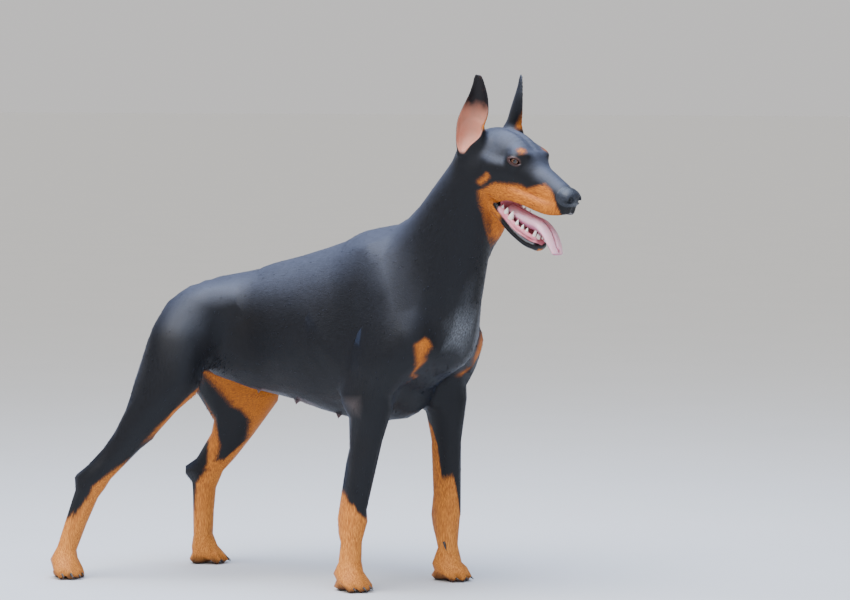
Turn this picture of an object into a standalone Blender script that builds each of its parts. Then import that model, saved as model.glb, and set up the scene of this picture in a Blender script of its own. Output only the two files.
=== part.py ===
"""Doberman pinscher, standing, life size: a still model in separate named parts."""

from math import cos, pi, radians, sin, tan

import bmesh
import bpy
import numpy as np

# Finish of the nets: cell sizes, and the triangles that each is thinned to
CELL_BODY, CELL_HEAD, CELL_EAR, CELL_TONGUE, CELL_TAIL = 0.0085, 0.0026, 0.0015, 0.0030, 0.005
TRIANGLES_BODY, TRIANGLES_HEAD, TRIANGLES_EAR, TRIANGLES_TONGUE, TRIANGLES_TAIL = 5000, 3000, 420, 300, 160
FINE_EAR = 20 * TRIANGLES_EAR
FLOOR = 0.0
# Gap between parts, a length past the whole dog, and one that reaches under the floor
CLEAR, BIG, UNDER = 0.0003, 1.2, 0.01
SMALLEST_CHANGE = 1e-10

# Teeth on the ridge of the lower jaw: place along it, height, half width
TOOTH_SIZES = [(0.25, 0.0105, 0.0048), (0.39, 0.0070, 0.0036), (0.51, 0.0060, 0.0032), (0.61, 0.0055, 0.0028),
               (0.79, 0.0150, 0.0036), (0.88, 0.0055, 0.0021), (0.94, 0.0055, 0.0020), (0.99, 0.0050, 0.0019)]
TOOTH_SUNK = 0.004
# Claws, and the dewclaw from the middle of the paw; a cone's width two thirds of the way along
CLAW_AHEAD, CLAW_HEIGHT, CLAW_LENGTH, CLAW_RADIUS = 0.006, 0.0125, 0.0165, 0.0034
CLAW_FALL, CLAW_BEND = 0.0065, 0.002
DEWCLAW_ROOT, DEWCLAW_TIP = np.array([0.004, -0.017, 0.072]), np.array([0.012, -0.026, 0.058])
CONE_MIDDLE = (0.65, 0.72)
HIND_PAW_SIZE = 0.94
TEATS_BEHIND_LOIN, TEATS_AHEAD_OF_LOIN = (-0.300,), (-0.222, -0.132)
TEAT_OUT, TEAT_LENGTH, TEAT_RADIUS = 0.034, 0.009, 0.0050

# Cuts between the parts: a point, a direction, or a block's corners
HEAD_CUT, HEAD_CUT_NORMAL = (-0.083, 0, -0.075), np.array([0.87, 0, 0.49])
JAW_CUT, JAW_CUT_NORMAL = (-0.010, 0, -0.105), np.array([0.889, 0, -0.458])
JAW_BOX = ((-0.022, -0.06, 0.0), (0.08, 0.06, 0.2))
NOSE_BOX = ((0.0985, -0.03, -0.0475), (0.15, 0.03, 0.01))
EAR_ACROSS_SPAN, EAR_OUT_SPAN, EAR_UP_SPAN = (-0.042, 0.030), (-0.0225, 0.05), (-0.146, 0.02)
EAR_MARGIN = 0.004
FOREPAW_TOP, FOREARM_TOP, UPPER_ARM_TOP, UPPER_ARM_INNER = 0.095, 0.285, 0.425, 0.062
HINDPAW_TOP, HOCK_TOP, SHANK_TOP, THIGH_TOP, THIGH_INNER = 0.055, 0.145, 0.322, 0.445, 0.045
PAW_BLOCK, FOREARM_BLOCK = ((-0.075, -0.07), (0.085, 0.07)), ((-0.09, -0.085), (0.12, 0.085))
UPPER_ARM_BLOCK, THIGH_BLOCK = ((-0.075, -0.1), (0.13, 0.1)), ((-0.20, -0.12), (0.065, 0.12))
REAR_PASTERN_BLOCK, SHANK_BLOCK = ((-0.09, -0.085), (0.20, 0.085)), ((-0.15, -0.085), (0.30, 0.12))
NECK_CUT_X, NECK_CUT_Z, NECK_CUT_AHEAD, NECK_CUT_UP = 0.045, 0.580, 0.66, 0.75
TAIL_BLOCK = ((-0.12, -0.02, 0.40), (0.0, 0.02, 0.56))
TAIL_X, LOIN_X = -0.478, -0.235
# Rooms that the nets fill
BODY_ROOM = (-0.72, -0.34, -0.02), (0.30, 0.16, 0.84)
HEAD_ROOM = (0.06, -0.26, 0.56), (0.42, 0.03, 0.93)
MOUTH_ROOM = (-0.10, -0.12, -0.22), (0.16, 0.10, 0.0)
TAIL_ROOM = (-0.60, -0.18, 0.38), (-0.42, 0.0, 0.56)

BLACK_COAT = (0.012, 0.012, 0.014)
RUST_COAT = (0.45, 0.17, 0.045)
LEATHER = (0.010, 0.010, 0.011)
TONGUE_PINK = (0.55, 0.22, 0.20)
IRIS_BROWN = (0.035, 0.014, 0.006)

# Stance: X forward, Y the dog's left, Z up, metres
HEAD_TURN, HEAD_PITCH = radians(-21), radians(-16)
FRONT_TURN, REAR_TURN = radians(-12), radians(16)
REAR_X = -0.50
SPINE_Y = -0.082
EYES = np.array([0.2555, -0.119, 0.7645])
HEAD_X = np.array([cos(HEAD_TURN) * cos(HEAD_PITCH), sin(HEAD_TURN) * cos(HEAD_PITCH), sin(HEAD_PITCH)])
HEAD_Y = np.array([-sin(HEAD_TURN), cos(HEAD_TURN), 0.0])
HEAD_Z = np.cross(HEAD_X, HEAD_Y)
HEAD_AXES = np.stack([HEAD_X, HEAD_Y, HEAD_Z])


def spine_y(x):
    """Y of the middle plane, a parabola between the hips and the shoulders."""
    s0, s1 = tan(REAR_TURN), tan(FRONT_TURN)
    a = np.clip(x, REAR_X, 0.0)
    bend = (s1 - s0) / (0.0 - REAR_X)
    y = SPINE_Y + s0 * (a - REAR_X) + bend * (a - REAR_X) ** 2 / 2
    return y + (x - a) * np.where(x > 0, s1, s0)


def turn(x):
    """Heading of the middle plane."""
    s0, s1 = tan(REAR_TURN), tan(FRONT_TURN)
    t = np.clip((x - REAR_X) / (0.0 - REAR_X), 0, 1)
    return np.arctan(s0 + (s1 - s0) * t)


def beside(x, side, z):
    """A point at x along the spine, side metres to the left of the middle plane."""
    h = turn(x)
    return np.array([x - sin(h) * side, spine_y(x) + cos(h) * side, z])


def head_point(x, y, z):
    """A point of the head's own frame, in the stance."""
    return EYES + x * HEAD_X + y * HEAD_Y + z * HEAD_Z


def smooth_min(a, b, k):
    h = np.maximum(k - np.abs(a - b), 0) / k
    return np.minimum(a, b) - h * h * k / 4


def smooth_cut(a, b, k):
    """a with b taken out."""
    return -smooth_min(-a, b, k)


def ellipsoid(p, centre, radii, axes=None):
    q = p - np.asarray(centre)
    if axes is not None:
        q = q @ np.asarray(axes).T
    r = np.asarray(radii)
    k0 = np.linalg.norm(q / r, axis=1)
    k1 = np.linalg.norm(q / (r * r), axis=1) + 1e-9
    return k0 * (k0 - 1) / k1


FAR = 0.08


def spline(rows, steps):
    rows = np.asarray(rows, float)
    ends = np.vstack([2 * rows[0] - rows[1], rows, 2 * rows[-1] - rows[-2]])
    out = []
    for i in range(len(rows) - 1):
        a, b, c, d = ends[i:i + 4]
        for t in np.arange(steps) / steps:
            out.append(0.5 * (2 * b + (c - a) * t + (2 * a - 5 * b + 4 * c - d) * t * t
                              + (3 * b - a - 3 * c + d) * t ** 3))
    out.append(rows[-1])
    return np.array(out)


def tube(p, rows, side, steps=4, cap=1.0):
    """Rows are x, y, z, radius above, radius below, half width; side is the width's direction."""
    path = spline(rows, steps)
    lo = path[:, :3].min(0) - path[:, 3:].max() - FAR
    hi = path[:, :3].max(0) + path[:, 3:].max() + FAR
    out = np.linalg.norm(np.maximum(np.maximum(lo - p, p - hi), 0), axis=1) + FAR
    near = np.all((p > lo) & (p < hi), axis=1)
    q = p[near]
    if not len(q):
        return out
    best = np.full(len(q), 9e9)
    index = np.zeros(len(q), int)
    along = np.zeros(len(q))
    for i in range(len(path) - 1):
        a, ab = path[i, :3], path[i + 1, :3] - path[i, :3]
        t = np.clip((q - a) @ ab / (ab @ ab), 0, 1)
        d = q - a - t[:, None] * ab
        d2 = np.einsum("ij,ij->i", d, d)
        m = d2 < best
        best[m], index[m], along[m] = d2[m], i, t[m]
    step = path[index + 1] - path[index]
    at = path[index] + along[:, None] * step
    ahead = step[:, :3] / np.linalg.norm(step[:, :3], axis=1)[:, None]
    side = np.asarray(side, float)
    across = side - (ahead @ side)[:, None] * ahead
    across /= np.linalg.norm(across, axis=1)[:, None]
    above = np.cross(ahead, across)
    d = q - at[:, :3]
    v = np.einsum("ij,ij->i", d, above)
    w = np.einsum("ij,ij->i", d, across)
    u = np.einsum("ij,ij->i", d, ahead)
    rv = np.where(v > 0, at[:, 3], at[:, 4])
    rw = at[:, 5]
    ru = cap * np.minimum(np.minimum(at[:, 3], at[:, 4]), rw)
    k0 = np.sqrt((v / rv) ** 2 + (w / rw) ** 2 + (u / ru) ** 2)
    k1 = np.sqrt((v / rv ** 2) ** 2 + (w / rw ** 2) ** 2 + (u / ru ** 2) ** 2) + 1e-9
    out[near] = k0 * (k0 - 1) / k1
    return out


# Trunk: x along the spine, top, bottom, half width
TRUNK = [(-0.452, 0.478, 0.405, 0.045), (-0.436, 0.505, 0.385, 0.066), (-0.400, 0.541, 0.366, 0.078),
         (-0.350, 0.556, 0.352, 0.078), (-0.300, 0.567, 0.336, 0.082), (-0.240, 0.584, 0.325, 0.094),
         (-0.165, 0.606, 0.305, 0.105), (-0.095, 0.625, 0.293, 0.106), (-0.030, 0.640, 0.300, 0.098),
         (0.025, 0.610, 0.335, 0.084), (0.070, 0.545, 0.375, 0.062), (0.092, 0.490, 0.410, 0.040)]
WIDEST = 0.46


def trunk(p):
    rows = []
    for x, top, bottom, half in TRUNK:
        mid = bottom + WIDEST * (top - bottom)
        rows.append((x, spine_y(x), mid, top - mid, mid - bottom, half))
    return tube(p, rows, (0, 1, 0), 3, 0.8)


# Neck: x, height, radius to the nape, radius to the throat, half width
NECK = [(-0.030, 0.480, 0.130, 0.143, 0.076), (0.030, 0.570, 0.090, 0.137, 0.074),
        (0.078, 0.642, 0.063, 0.104, 0.063), (0.118, 0.700, 0.052, 0.076, 0.055),
        (0.150, 0.745, 0.046, 0.056, 0.047)]


# How far the neck swings out to the right for each metre past its base
NECK_SWING, NECK_BASE_X = 0.105, 0.06


def neck(p):
    rows = [(x, spine_y(x) - NECK_SWING * max(x - NECK_BASE_X, 0), z, a, b, w) for x, z, a, b, w in NECK]
    return tube(p, rows, HEAD_Y * 0.5 + np.array([sin(-FRONT_TURN), cos(FRONT_TURN), 0]) * 0.5, 4)


LEFT, RIGHT = 1, -1
FORE_FOOT = {RIGHT: (-0.081, -0.150), LEFT: (0.024, 0.038)}
HIND_FOOT = {RIGHT: (-0.620, -0.226), LEFT: (-0.478, 0.040)}
FORE_PAW_TURN = {RIGHT: radians(-18), LEFT: radians(-8)}
HIND_PAW_TURN = {RIGHT: radians(-32), LEFT: radians(28)}


def foreleg(p, side):
    fx, fy = FORE_FOOT[side]
    h = FRONT_TURN
    left = np.array([-sin(h), cos(h), 0])
    shoulder = beside(0.050, side * 0.070, 0.440)
    elbow = beside(-0.031, side * 0.088, 0.345) if side == RIGHT else beside(0.004, side * 0.088, 0.345)
    blade = beside(-0.045, side * 0.052, 0.585)
    out = side * left
    rows = [(*blade, 0.035, 0.045, 0.026), (*(0.5 * (blade + shoulder) + 0.008 * out), 0.048, 0.058, 0.034),
            (*shoulder, 0.040, 0.045, 0.036)]
    d = tube(p, rows, left, 4)
    # upper arm
    back = elbow + np.array([-0.008, 0, 0.03])
    rows = [(*shoulder, 0.042, 0.045, 0.038), (*(0.5 * (shoulder + back) + 0.01 * out), 0.055, 0.060, 0.038),
            (*elbow, 0.038, 0.042, 0.030)]
    d = smooth_min(d, tube(p, rows, left, 4), 0.04)
    # forearm, wrist and pastern
    wrist = np.array([fx + (0.014 if side == RIGHT else 0.006), fy, 0.125])
    top = elbow + np.array([0.004, 0, -0.015])
    rows = [(*top, 0.049, 0.040, 0.030), (*(top * 0.72 + wrist * 0.28), 0.037, 0.030, 0.0240),
            (*(top * 0.35 + wrist * 0.65), 0.0270, 0.024, 0.0200),
            (*(wrist + (0, 0, 0.022)), 0.0235, 0.024, 0.0205), (*wrist, 0.0235, 0.0255, 0.0225),
            (*(wrist * 0.6 + np.array([fx, fy, 0.035]) * 0.4), 0.0205, 0.022, 0.0205),
            (fx + 0.004, fy, 0.045, 0.021, 0.021, 0.022)]
    d = smooth_min(d, tube(p, rows, left, 3), 0.02)
    # tendons of the forearm down to the bone behind the wrist, and its pad
    back_of = np.array([-0.0215, 0, 0])
    rows = [(*(top * 0.55 + wrist * 0.45 + back_of * 0.8), 0.009, 0.009, 0.009),
            (*(wrist + back_of + (0, 0, 0.020)), 0.009, 0.010, 0.009),
            (*(wrist + back_of * 1.15 + (0, 0, -0.008)), 0.008, 0.008, 0.010),
            (*(wrist + back_of * 0.75 + (0, 0, -0.036)), 0.007, 0.007, 0.009)]
    d = smooth_min(d, tube(p, rows, left, 3), 0.012)
    d = smooth_min(d, ellipsoid(p, wrist + back_of * 1.25 + (0, 0, -0.022), (0.0065, 0.0075, 0.0090)), 0.004)
    # point of the elbow
    d = smooth_min(d, ellipsoid(p, elbow + np.array([-0.030, 0, -0.004]), (0.016, 0.012, 0.022)), 0.02)
    return smooth_min(d, paw(p, np.array([fx, fy]), FORE_PAW_TURN[side], 1.0), 0.014)


# Toes: how far to the side and how far ahead of the middle of the paw
TOES = ((-0.0215, 0.020), (-0.0078, 0.033), (0.0078, 0.033), (0.0215, 0.020))


def paw(p, at, heading, size):
    """Four arched toes in a fan over a heel pad."""
    f = np.array([cos(heading), sin(heading), 0])
    s = np.array([-sin(heading), cos(heading), 0])
    base = np.array([at[0], at[1], 0])
    axes = np.stack([f, s, (0, 0, 1)])
    middle, heel = base + f * 0.004 * size + (0, 0, 0.026), base - f * 0.008 * size + (0, 0, 0.008)
    d = ellipsoid(p, middle, (0.026 * size, 0.024 * size, 0.024), axes)
    d = smooth_min(d, ellipsoid(p, heel, (0.020 * size, 0.020 * size, 0.012), axes), 0.01)
    for spread, reach in TOES:
        a = base + s * spread * 0.6 * size + f * (reach - 0.030) * size + (0, 0, 0.030)
        b = base + s * spread * size + f * (reach - 0.006) * size + (0, 0, 0.021)
        c = base + s * spread * size + f * (reach + 0.008) * size + (0, 0, 0.009)
        r = 0.0098 * size
        rows = [(*a, r, r, r), (*b, r * 1.12, r * 1.1, r), (*c, r * 0.95, r, r * 0.92)]
        d = smooth_min(d, tube(p, rows, s, 3), 0.004)
    return d


def hindleg(p, side):
    fx, fy = HIND_FOOT[side]
    h = REAR_TURN
    left = np.array([-sin(h), cos(h), 0])
    hip = beside(-0.425, side * 0.058, 0.470)
    if side == RIGHT:
        knee = np.array([-0.404, -0.172, 0.364])
        girth = 1.0
        hock = np.array([-0.563, -0.218, 0.174])
    else:
        knee = np.array([-0.360, 0.040, 0.332])
        girth = 1.18
        hock = np.array([-0.468, 0.040, 0.167])
    seat = beside(-0.447, side * 0.050, 0.440)
    croup = beside(-0.400, side * 0.048, 0.497)
    # thigh, wide from front to back
    middle = 0.5 * (hip + knee) + np.array([-0.012, 0, 0.004]) + side * 0.008 * left
    rows = [(*hip, 0.060, 0.054, 0.040), (*middle, 0.058, 0.056, 0.046),
            (*(knee + np.array([-0.016, 0, 0.0])), 0.041 if side == RIGHT else 0.047, 0.044, 0.036)]
    d = smooth_min(tube(p, rows, left, 4), ellipsoid(p, croup, (0.056, 0.034, 0.034)), 0.03)
    # hamstrings from the seat to the shank
    calf = knee * 0.55 + hock * 0.45
    rows = [(*seat, 0.036, 0.032, 0.034),
            (*(0.5 * (seat + calf) + np.array([-0.016, 0, 0.004])), 0.040, 0.032, 0.034),
            (*(calf + np.array([-0.006, 0, 0.0])), 0.026, 0.029 if side == RIGHT else 0.021, 0.021)]
    d = smooth_min(d, tube(p, rows, left, 4), 0.045)
    # shank
    heel = hock + np.array([-0.024 if side == RIGHT else -0.035, 0, 0.006])
    rows = [(*knee, 0.031 * girth ** 1.8, 0.042, 0.032),
            (*(knee * 0.62 + hock * 0.38), 0.028 * girth ** 1.6, 0.034, 0.026),
            (*(knee * 0.28 + hock * 0.72), 0.0225 * girth ** 1.5, 0.0235 * girth, 0.0185),
            (*(hock + np.array([0.004, 0, 0.006])), 0.021, 0.024, 0.018)]
    d = smooth_min(d, tube(p, rows, left, 3), 0.025)
    # tendon and heel
    rows = [(*(calf + np.array([-0.022, 0, 0.0])), 0.014, 0.014, 0.013),
            (*(heel * 0.75 + calf * 0.25 + np.array([-0.002, 0, 0])), 0.008, 0.009, 0.008),
            (*heel, 0.013, 0.013, 0.0125)]
    d = smooth_min(d, tube(p, rows, left, 3), 0.016)
    # rear pastern
    foot = np.array([fx, fy, 0.038])
    down = foot - hock
    rows = [(*hock, 0.020, 0.026 if side == RIGHT else 0.032, 0.018),
            (*(hock + 0.35 * down), 0.0175, 0.0255, 0.0170),
            (*(hock + 0.72 * down), 0.0165, 0.0215, 0.017), (*foot, 0.019, 0.019, 0.020)]
    d = smooth_min(d, tube(p, rows, left, 3), 0.018)
    return smooth_min(d, paw(p, np.array([fx, fy]), HIND_PAW_TURN[side], HIND_PAW_SIZE), 0.014)


# Head, in its own frame: x forward, y out to the side, z up, from the middle between the eyes
EYE_AT = np.array([-0.0050, 0.0318, -0.0005])
EYE_RADIUS = 0.0120
EYE_OUT = np.array([0.66, 0.74, 0.10]) / np.linalg.norm([0.66, 0.74, 0.10])
EYE_ALONG = np.cross(EYE_OUT, (0.10, -0.16, 0.98))
EYE_ALONG /= np.linalg.norm(EYE_ALONG)
EYE_UP = np.cross(EYE_ALONG, EYE_OUT)
LID_LONG, LID_HIGH, LID_THICK = 0.0110, 0.0054, 0.0016

EAR_TIP = np.array([-0.1136, 0.0561, 0.1222])
EAR_OUT = np.array([0.60, 0.78, 0.15]) / np.linalg.norm([0.60, 0.78, 0.15])
EAR_UP = np.array([0, 0, 1.0]) - EAR_OUT * EAR_OUT[2]
EAR_UP /= np.linalg.norm(EAR_UP)
EAR_ACROSS = np.cross(EAR_UP, EAR_OUT)
# Height below the tip, middle of the opening, its half width and the cup's depth
EAR_ROWS = np.array([(-0.140, -0.006, 0.0045, 0.0045), (-0.123, -0.005, 0.0125, 0.013),
                     (-0.104, -0.009, 0.0210, 0.020), (-0.083, -0.009, 0.0230, 0.021),
                     (-0.060, -0.012, 0.0222, 0.017), (-0.035, -0.012, 0.0160, 0.0105),
                     (-0.018, -0.009, 0.0110, 0.0060), (-0.007, -0.006, 0.0078, 0.0040),
                     (0.0, -0.004, 0.0050, 0.0026)])
EAR_THICK = 0.0030

# Edge of the upper lip: x, y, z
UPPER_LIP = [(0.112, 0.009, -0.0575), (0.100, 0.0195, -0.0635), (0.080, 0.0265, -0.068),
             (0.055, 0.030, -0.068), (0.025, 0.0335, -0.0665), (-0.005, 0.0360, -0.0690),
             (-0.026, 0.0365, -0.0775)]
# Lower jaw: x, z, half height, half width
JAW = [(-0.056, -0.078, 0.024, 0.036), (-0.024, -0.098, 0.0165, 0.0335), (0.008, -0.1185, 0.0125, 0.029),
       (0.040, -0.1310, 0.0105, 0.0235), (0.061, -0.1335, 0.0090, 0.0180)]
# Ridge that the lower teeth stand on: x, y, z
TOOTH_RIDGE = [(-0.020, 0.0235, -0.0900), (0.000, 0.0215, -0.0985), (0.020, 0.0190, -0.1075),
               (0.040, 0.0155, -0.1125), (0.056, 0.0100, -0.1165), (0.062, 0.0030, -0.1180)]
# Throat, from behind the jaw down to the neck: x, z, radius in front, radius behind, half width
THROAT = [(-0.050, -0.098, 0.020, 0.020, 0.020), (-0.062, -0.130, 0.030, 0.024, 0.024),
          (-0.079, -0.162, 0.031, 0.026, 0.027), (-0.100, -0.200, 0.029, 0.026, 0.028)]
# Tongue: x, z, half thickness, half width
TONGUE = [(-0.014, -0.0925, 0.0095, 0.0150), (0.014, -0.0970, 0.0120, 0.0165), (0.038, -0.0990, 0.0125, 0.0170),
          (0.058, -0.0990, 0.0115, 0.0180), (0.078, -0.1060, 0.0085, 0.0185), (0.094, -0.1190, 0.0060, 0.0175),
          (0.107, -0.1330, 0.0042, 0.0135)]
SIDEWAYS = (0, 1, 0)


def level_row(x, top, bottom, half, at=0.5):
    """A tube row in the middle plane, from its top and bottom heights."""
    mid = bottom + at * (top - bottom)
    return (x, 0, mid, top - mid, mid - bottom, half)


NOSE_SHIFT = np.array([-0.0030, 0, -0.0020])


def skull(q):
    d = tube(q, [level_row(-0.116, 0.012, -0.060, 0.033), level_row(-0.094, 0.031, -0.068, 0.044),
                 level_row(-0.060, 0.0400, -0.070, 0.0490), level_row(-0.026, 0.0365, -0.066, 0.0440),
                 level_row(0.004, 0.0210, -0.055, 0.0330)], SIDEWAYS, 4, 0.7)
    # furrow of the forehead
    d = smooth_cut(d, tube(q, [(-0.075, 0, 0.052, 0.012, 0.012, 0.004), (-0.03, 0, 0.049, 0.012, 0.012, 0.005),
                               (0.004, 0, 0.035, 0.012, 0.012, 0.004)], SIDEWAYS, 3), 0.012)
    # cheek muscle, cheek bone and brow
    d = smooth_min(d, ellipsoid(q, (-0.056, 0.037, -0.042), (0.038, 0.017, 0.036)), 0.022)
    rows = [(-0.080, 0.045, -0.016, 0.008, 0.010, 0.006), (-0.042, 0.0475, -0.020, 0.008, 0.012, 0.007),
            (-0.012, 0.0360, -0.018, 0.007, 0.008, 0.006)]
    d = smooth_min(d, tube(q, rows, SIDEWAYS, 3), 0.016)
    return smooth_min(d, ellipsoid(q, (-0.003, 0.0255, 0.0135), (0.018, 0.011, 0.009)), 0.014)


def muzzle(q):
    d = tube(q, [level_row(-0.012, 0.014, -0.060, 0.0330), level_row(0.022, 0.0055, -0.064, 0.0300, 0.55),
                 level_row(0.060, -0.0045, -0.066, 0.0260, 0.5), level_row(0.090, -0.0125, -0.064, 0.0230, 0.5),
                 level_row(0.106, -0.0165, -0.058, 0.0190, 0.5)], SIDEWAYS, 4, 0.72)
    # flews, folded over the upper lip
    rows = [(x, y - 0.0035, z + 0.010, 0.013, 0.009, 0.0050) for x, y, z in UPPER_LIP]
    d = smooth_min(d, tube(q, rows, SIDEWAYS, 3), 0.008)
    # hollow of the mouth under the palate
    rows = [(0.096, 0, -0.0690, 0.0130, 0.020, 0.0130), (0.070, 0, -0.0720, 0.0150, 0.020, 0.0205),
            (0.030, 0, -0.0740, 0.0165, 0.020, 0.0245), (-0.006, 0, -0.0780, 0.0165, 0.016, 0.0260),
            (-0.020, 0, -0.0830, 0.0140, 0.012, 0.0250)]
    return smooth_cut(d, tube(q, rows, SIDEWAYS, 3), 0.004)


def nose(q):
    q = q - NOSE_SHIFT
    d = ellipsoid(q, (0.1080, 0, -0.0295), (0.0205, 0.0190, 0.0160))
    d = smooth_min(d, ellipsoid(q, (0.1100, 0.0105, -0.0320), (0.0165, 0.0105, 0.0115)), 0.006)
    # philtrum and nostrils
    rows = [(0.131, 0, -0.024, 0.002, 0.002, 0.0012), (0.129, 0, -0.040, 0.003, 0.003, 0.0014),
            (0.121, 0, -0.052, 0.003, 0.003, 0.0014)]
    d = smooth_cut(d, tube(q, rows, SIDEWAYS, 3), 0.003)
    d = smooth_cut(d, ellipsoid(q, (0.1230, 0.0098, -0.0310), (0.0100, 0.0046, 0.0052)), 0.0025)
    rows = [(0.1235, 0.0120, -0.0335, 0.0022, 0.0022, 0.0022), (0.1170, 0.0185, -0.0360, 0.0016, 0.0016, 0.0020),
            (0.1080, 0.0220, -0.0365, 0.0012, 0.0012, 0.0016)]
    return smooth_cut(d, tube(q, rows, SIDEWAYS, 3), 0.0025)


def gum_ridge(q):
    """The gum that the lower teeth stand in, inside the lip."""
    return tube(q, [(x, y, z - 0.0045, 0.0050, 0.0050, 0.0044) for x, y, z in TOOTH_RIDGE], (0, 0, 1), 3)


def lower_jaw(q):
    d = tube(q, [(x, 0, z, half, half * 1.15, w) for x, z, half, w in JAW], SIDEWAYS, 4, 0.8)
    d = smooth_min(d, gum_ridge(q), 0.003)
    # floor of the mouth, inside the row of teeth
    rows = [(x + 0.004, 0, z + 0.016, 0.016, 0.013, w - 0.0105) for x, z, half, w in JAW[1:]]
    return smooth_cut(d, tube(q, rows, SIDEWAYS, 4, 0.5), 0.004)


def tongue(q):
    return tube(q, [(x, 0, z, t, t, w) for x, z, t, w in TONGUE], SIDEWAYS, 4, 0.9)


def ear(q):
    """The shell of the ear and the hollow of its cup."""
    r = q - EAR_TIP
    h, a, o = r @ EAR_UP, r @ EAR_ACROSS, r @ EAR_OUT
    rows = spline(EAR_ROWS, 4)
    mid, half, deep = (np.interp(h, rows[:, 0], rows[:, i]) for i in (1, 2, 3))
    radius = (half ** 2 + deep ** 2) / (2 * deep)
    to_axis = np.hypot(a - mid, o - (radius - deep))
    past = np.maximum(np.maximum(h, -0.140 - h), 0)
    rim = 0.0014
    shell = np.abs(to_axis - radius) - EAR_THICK / 2
    shell = smooth_cut(shell, rim - o, 0.002)
    shell = np.hypot(np.maximum(shell, 0), past) + np.minimum(shell, 0)
    cup = np.maximum(to_axis - radius + EAR_THICK / 2, np.maximum(h + 0.02, -0.137 - h))
    return shell, cup


def eyelids(q, d):
    """The lids: a skin over the eye, parted in an almond, with a rim."""
    r = q - EYE_AT
    e, a, b = r @ EYE_OUT, r @ EYE_ALONG, r @ EYE_UP
    from_eye = np.sqrt(e * e + a * a + b * b)
    d = smooth_min(d, from_eye - (EYE_RADIUS + 0.0016), 0.010)
    t = a / LID_LONG
    almond = np.sqrt(t * t + (b / (LID_HIGH * np.sqrt(np.maximum(1.02 - 0.75 * t * t, 0.05)))) ** 2)
    opening = np.maximum((almond - 1) * LID_HIGH, 0.002 - e)
    d = smooth_cut(d, opening, 0.0015)
    rim = np.hypot((almond - 1.06) * LID_HIGH, from_eye - EYE_RADIUS - 0.0008) - LID_THICK
    d = smooth_min(d, np.maximum(rim, -e), 0.003)
    return np.maximum(d, EYE_RADIUS + CLEAR - from_eye)


def head(q):
    """The head without its eyes and tongue, alike on both sides."""
    q = np.column_stack([q[:, 0], np.abs(q[:, 1]), q[:, 2]])
    d = smooth_min(skull(q), muzzle(q), 0.020)
    d = smooth_min(d, nose(q), 0.003)
    d = smooth_min(d, lower_jaw(q), 0.007)
    d = smooth_min(d, tube(q, [(x, 0, z, a, b, w) for x, z, a, b, w in THROAT], SIDEWAYS, 4, 0.6), 0.014)
    # base of the ear
    d = smooth_min(d, ellipsoid(q, (-0.099, 0.050, 0.012), (0.025, 0.018, 0.034)), 0.022)
    shell, cup = ear(q)
    d = smooth_cut(d, cup, 0.003)
    d = smooth_min(d, shell, 0.006)
    return eyelids(q, d)


def whole(p):
    """The dog in its stance, without its tail, eyes and tongue."""
    d = smooth_min(trunk(p), neck(p), 0.06)
    for side in (RIGHT, LEFT):
        d = smooth_min(d, foreleg(p, side), 0.030)
        d = smooth_min(d, hindleg(p, side), 0.035)
    # breast bone
    d = smooth_min(d, ellipsoid(p, beside(0.078, 0, 0.440), (0.026, 0.026, 0.032)), 0.04)
    near = np.linalg.norm(p - EYES, axis=1) < 0.30
    local = (p[near] - EYES) @ HEAD_AXES.T
    d[near] = join_head(d[near], local)
    return d


def join_head(body, local):
    """The head on the neck, with the mouth and ears kept clear of the neck's blend."""
    forward = np.clip((local[:, 0] + 0.10) / 0.06, 0, 1)
    return smooth_min(body, head(local), 0.030 * (1 - forward) + 0.004 * forward)


def docked_tail(p):
    """The stub of the tail, hanging along the rump."""
    rows = [(*beside(-0.450, 0, 0.482), 0.020, 0.020, 0.018), (*beside(-0.478, 0, 0.466), 0.015, 0.015, 0.014),
            (*beside(-0.492, 0, 0.438), 0.011, 0.011, 0.011)]
    return tube(p, rows, (0, 1, 0), 3)


def close_pinches(values):
    """Fills grid points where the surface would touch itself along an edge or at a point."""
    for _ in range(30):
        inside = values < 0
        fill = np.zeros_like(inside)

        def corner(grid, i, j, k):
            return grid[tuple(slice(o, o - 1 or None) for o in (i, j, k))]

        for axis in range(3):
            a, b, c, d = (np.s_[:-1, :-1], np.s_[1:, :-1], np.s_[:-1, 1:], np.s_[1:, 1:])
            grid, out = np.moveaxis(inside, axis, 2), np.moveaxis(fill, axis, 2)
            pinch = (grid[a] & grid[d] & ~grid[b] & ~grid[c]) | (grid[b] & grid[c] & ~grid[a] & ~grid[d])
            for at in (a, b, c, d):
                out[at] |= pinch
        count = sum(corner(inside, i, j, k).astype(np.int8) for i in (0, 1) for j in (0, 1) for k in (0, 1))
        for i, j in ((0, 0), (0, 1), (1, 0), (1, 1)):
            near, far = (0, i, j), (1, 1 - i, 1 - j)
            one, two = corner(inside, *near), corner(inside, *far)
            pinch = (one & two & (count == 2)) | (~one & ~two & (count == 6))
            corner(fill, 0, i, 1 - j)[...] |= pinch
            corner(fill, 0, 1 - i, j)[...] |= pinch
            corner(fill, *near)[...] |= pinch
            corner(fill, *far)[...] |= pinch
        fill &= ~inside
        if not fill.any():
            return
        values[fill] = -1e-5


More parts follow.
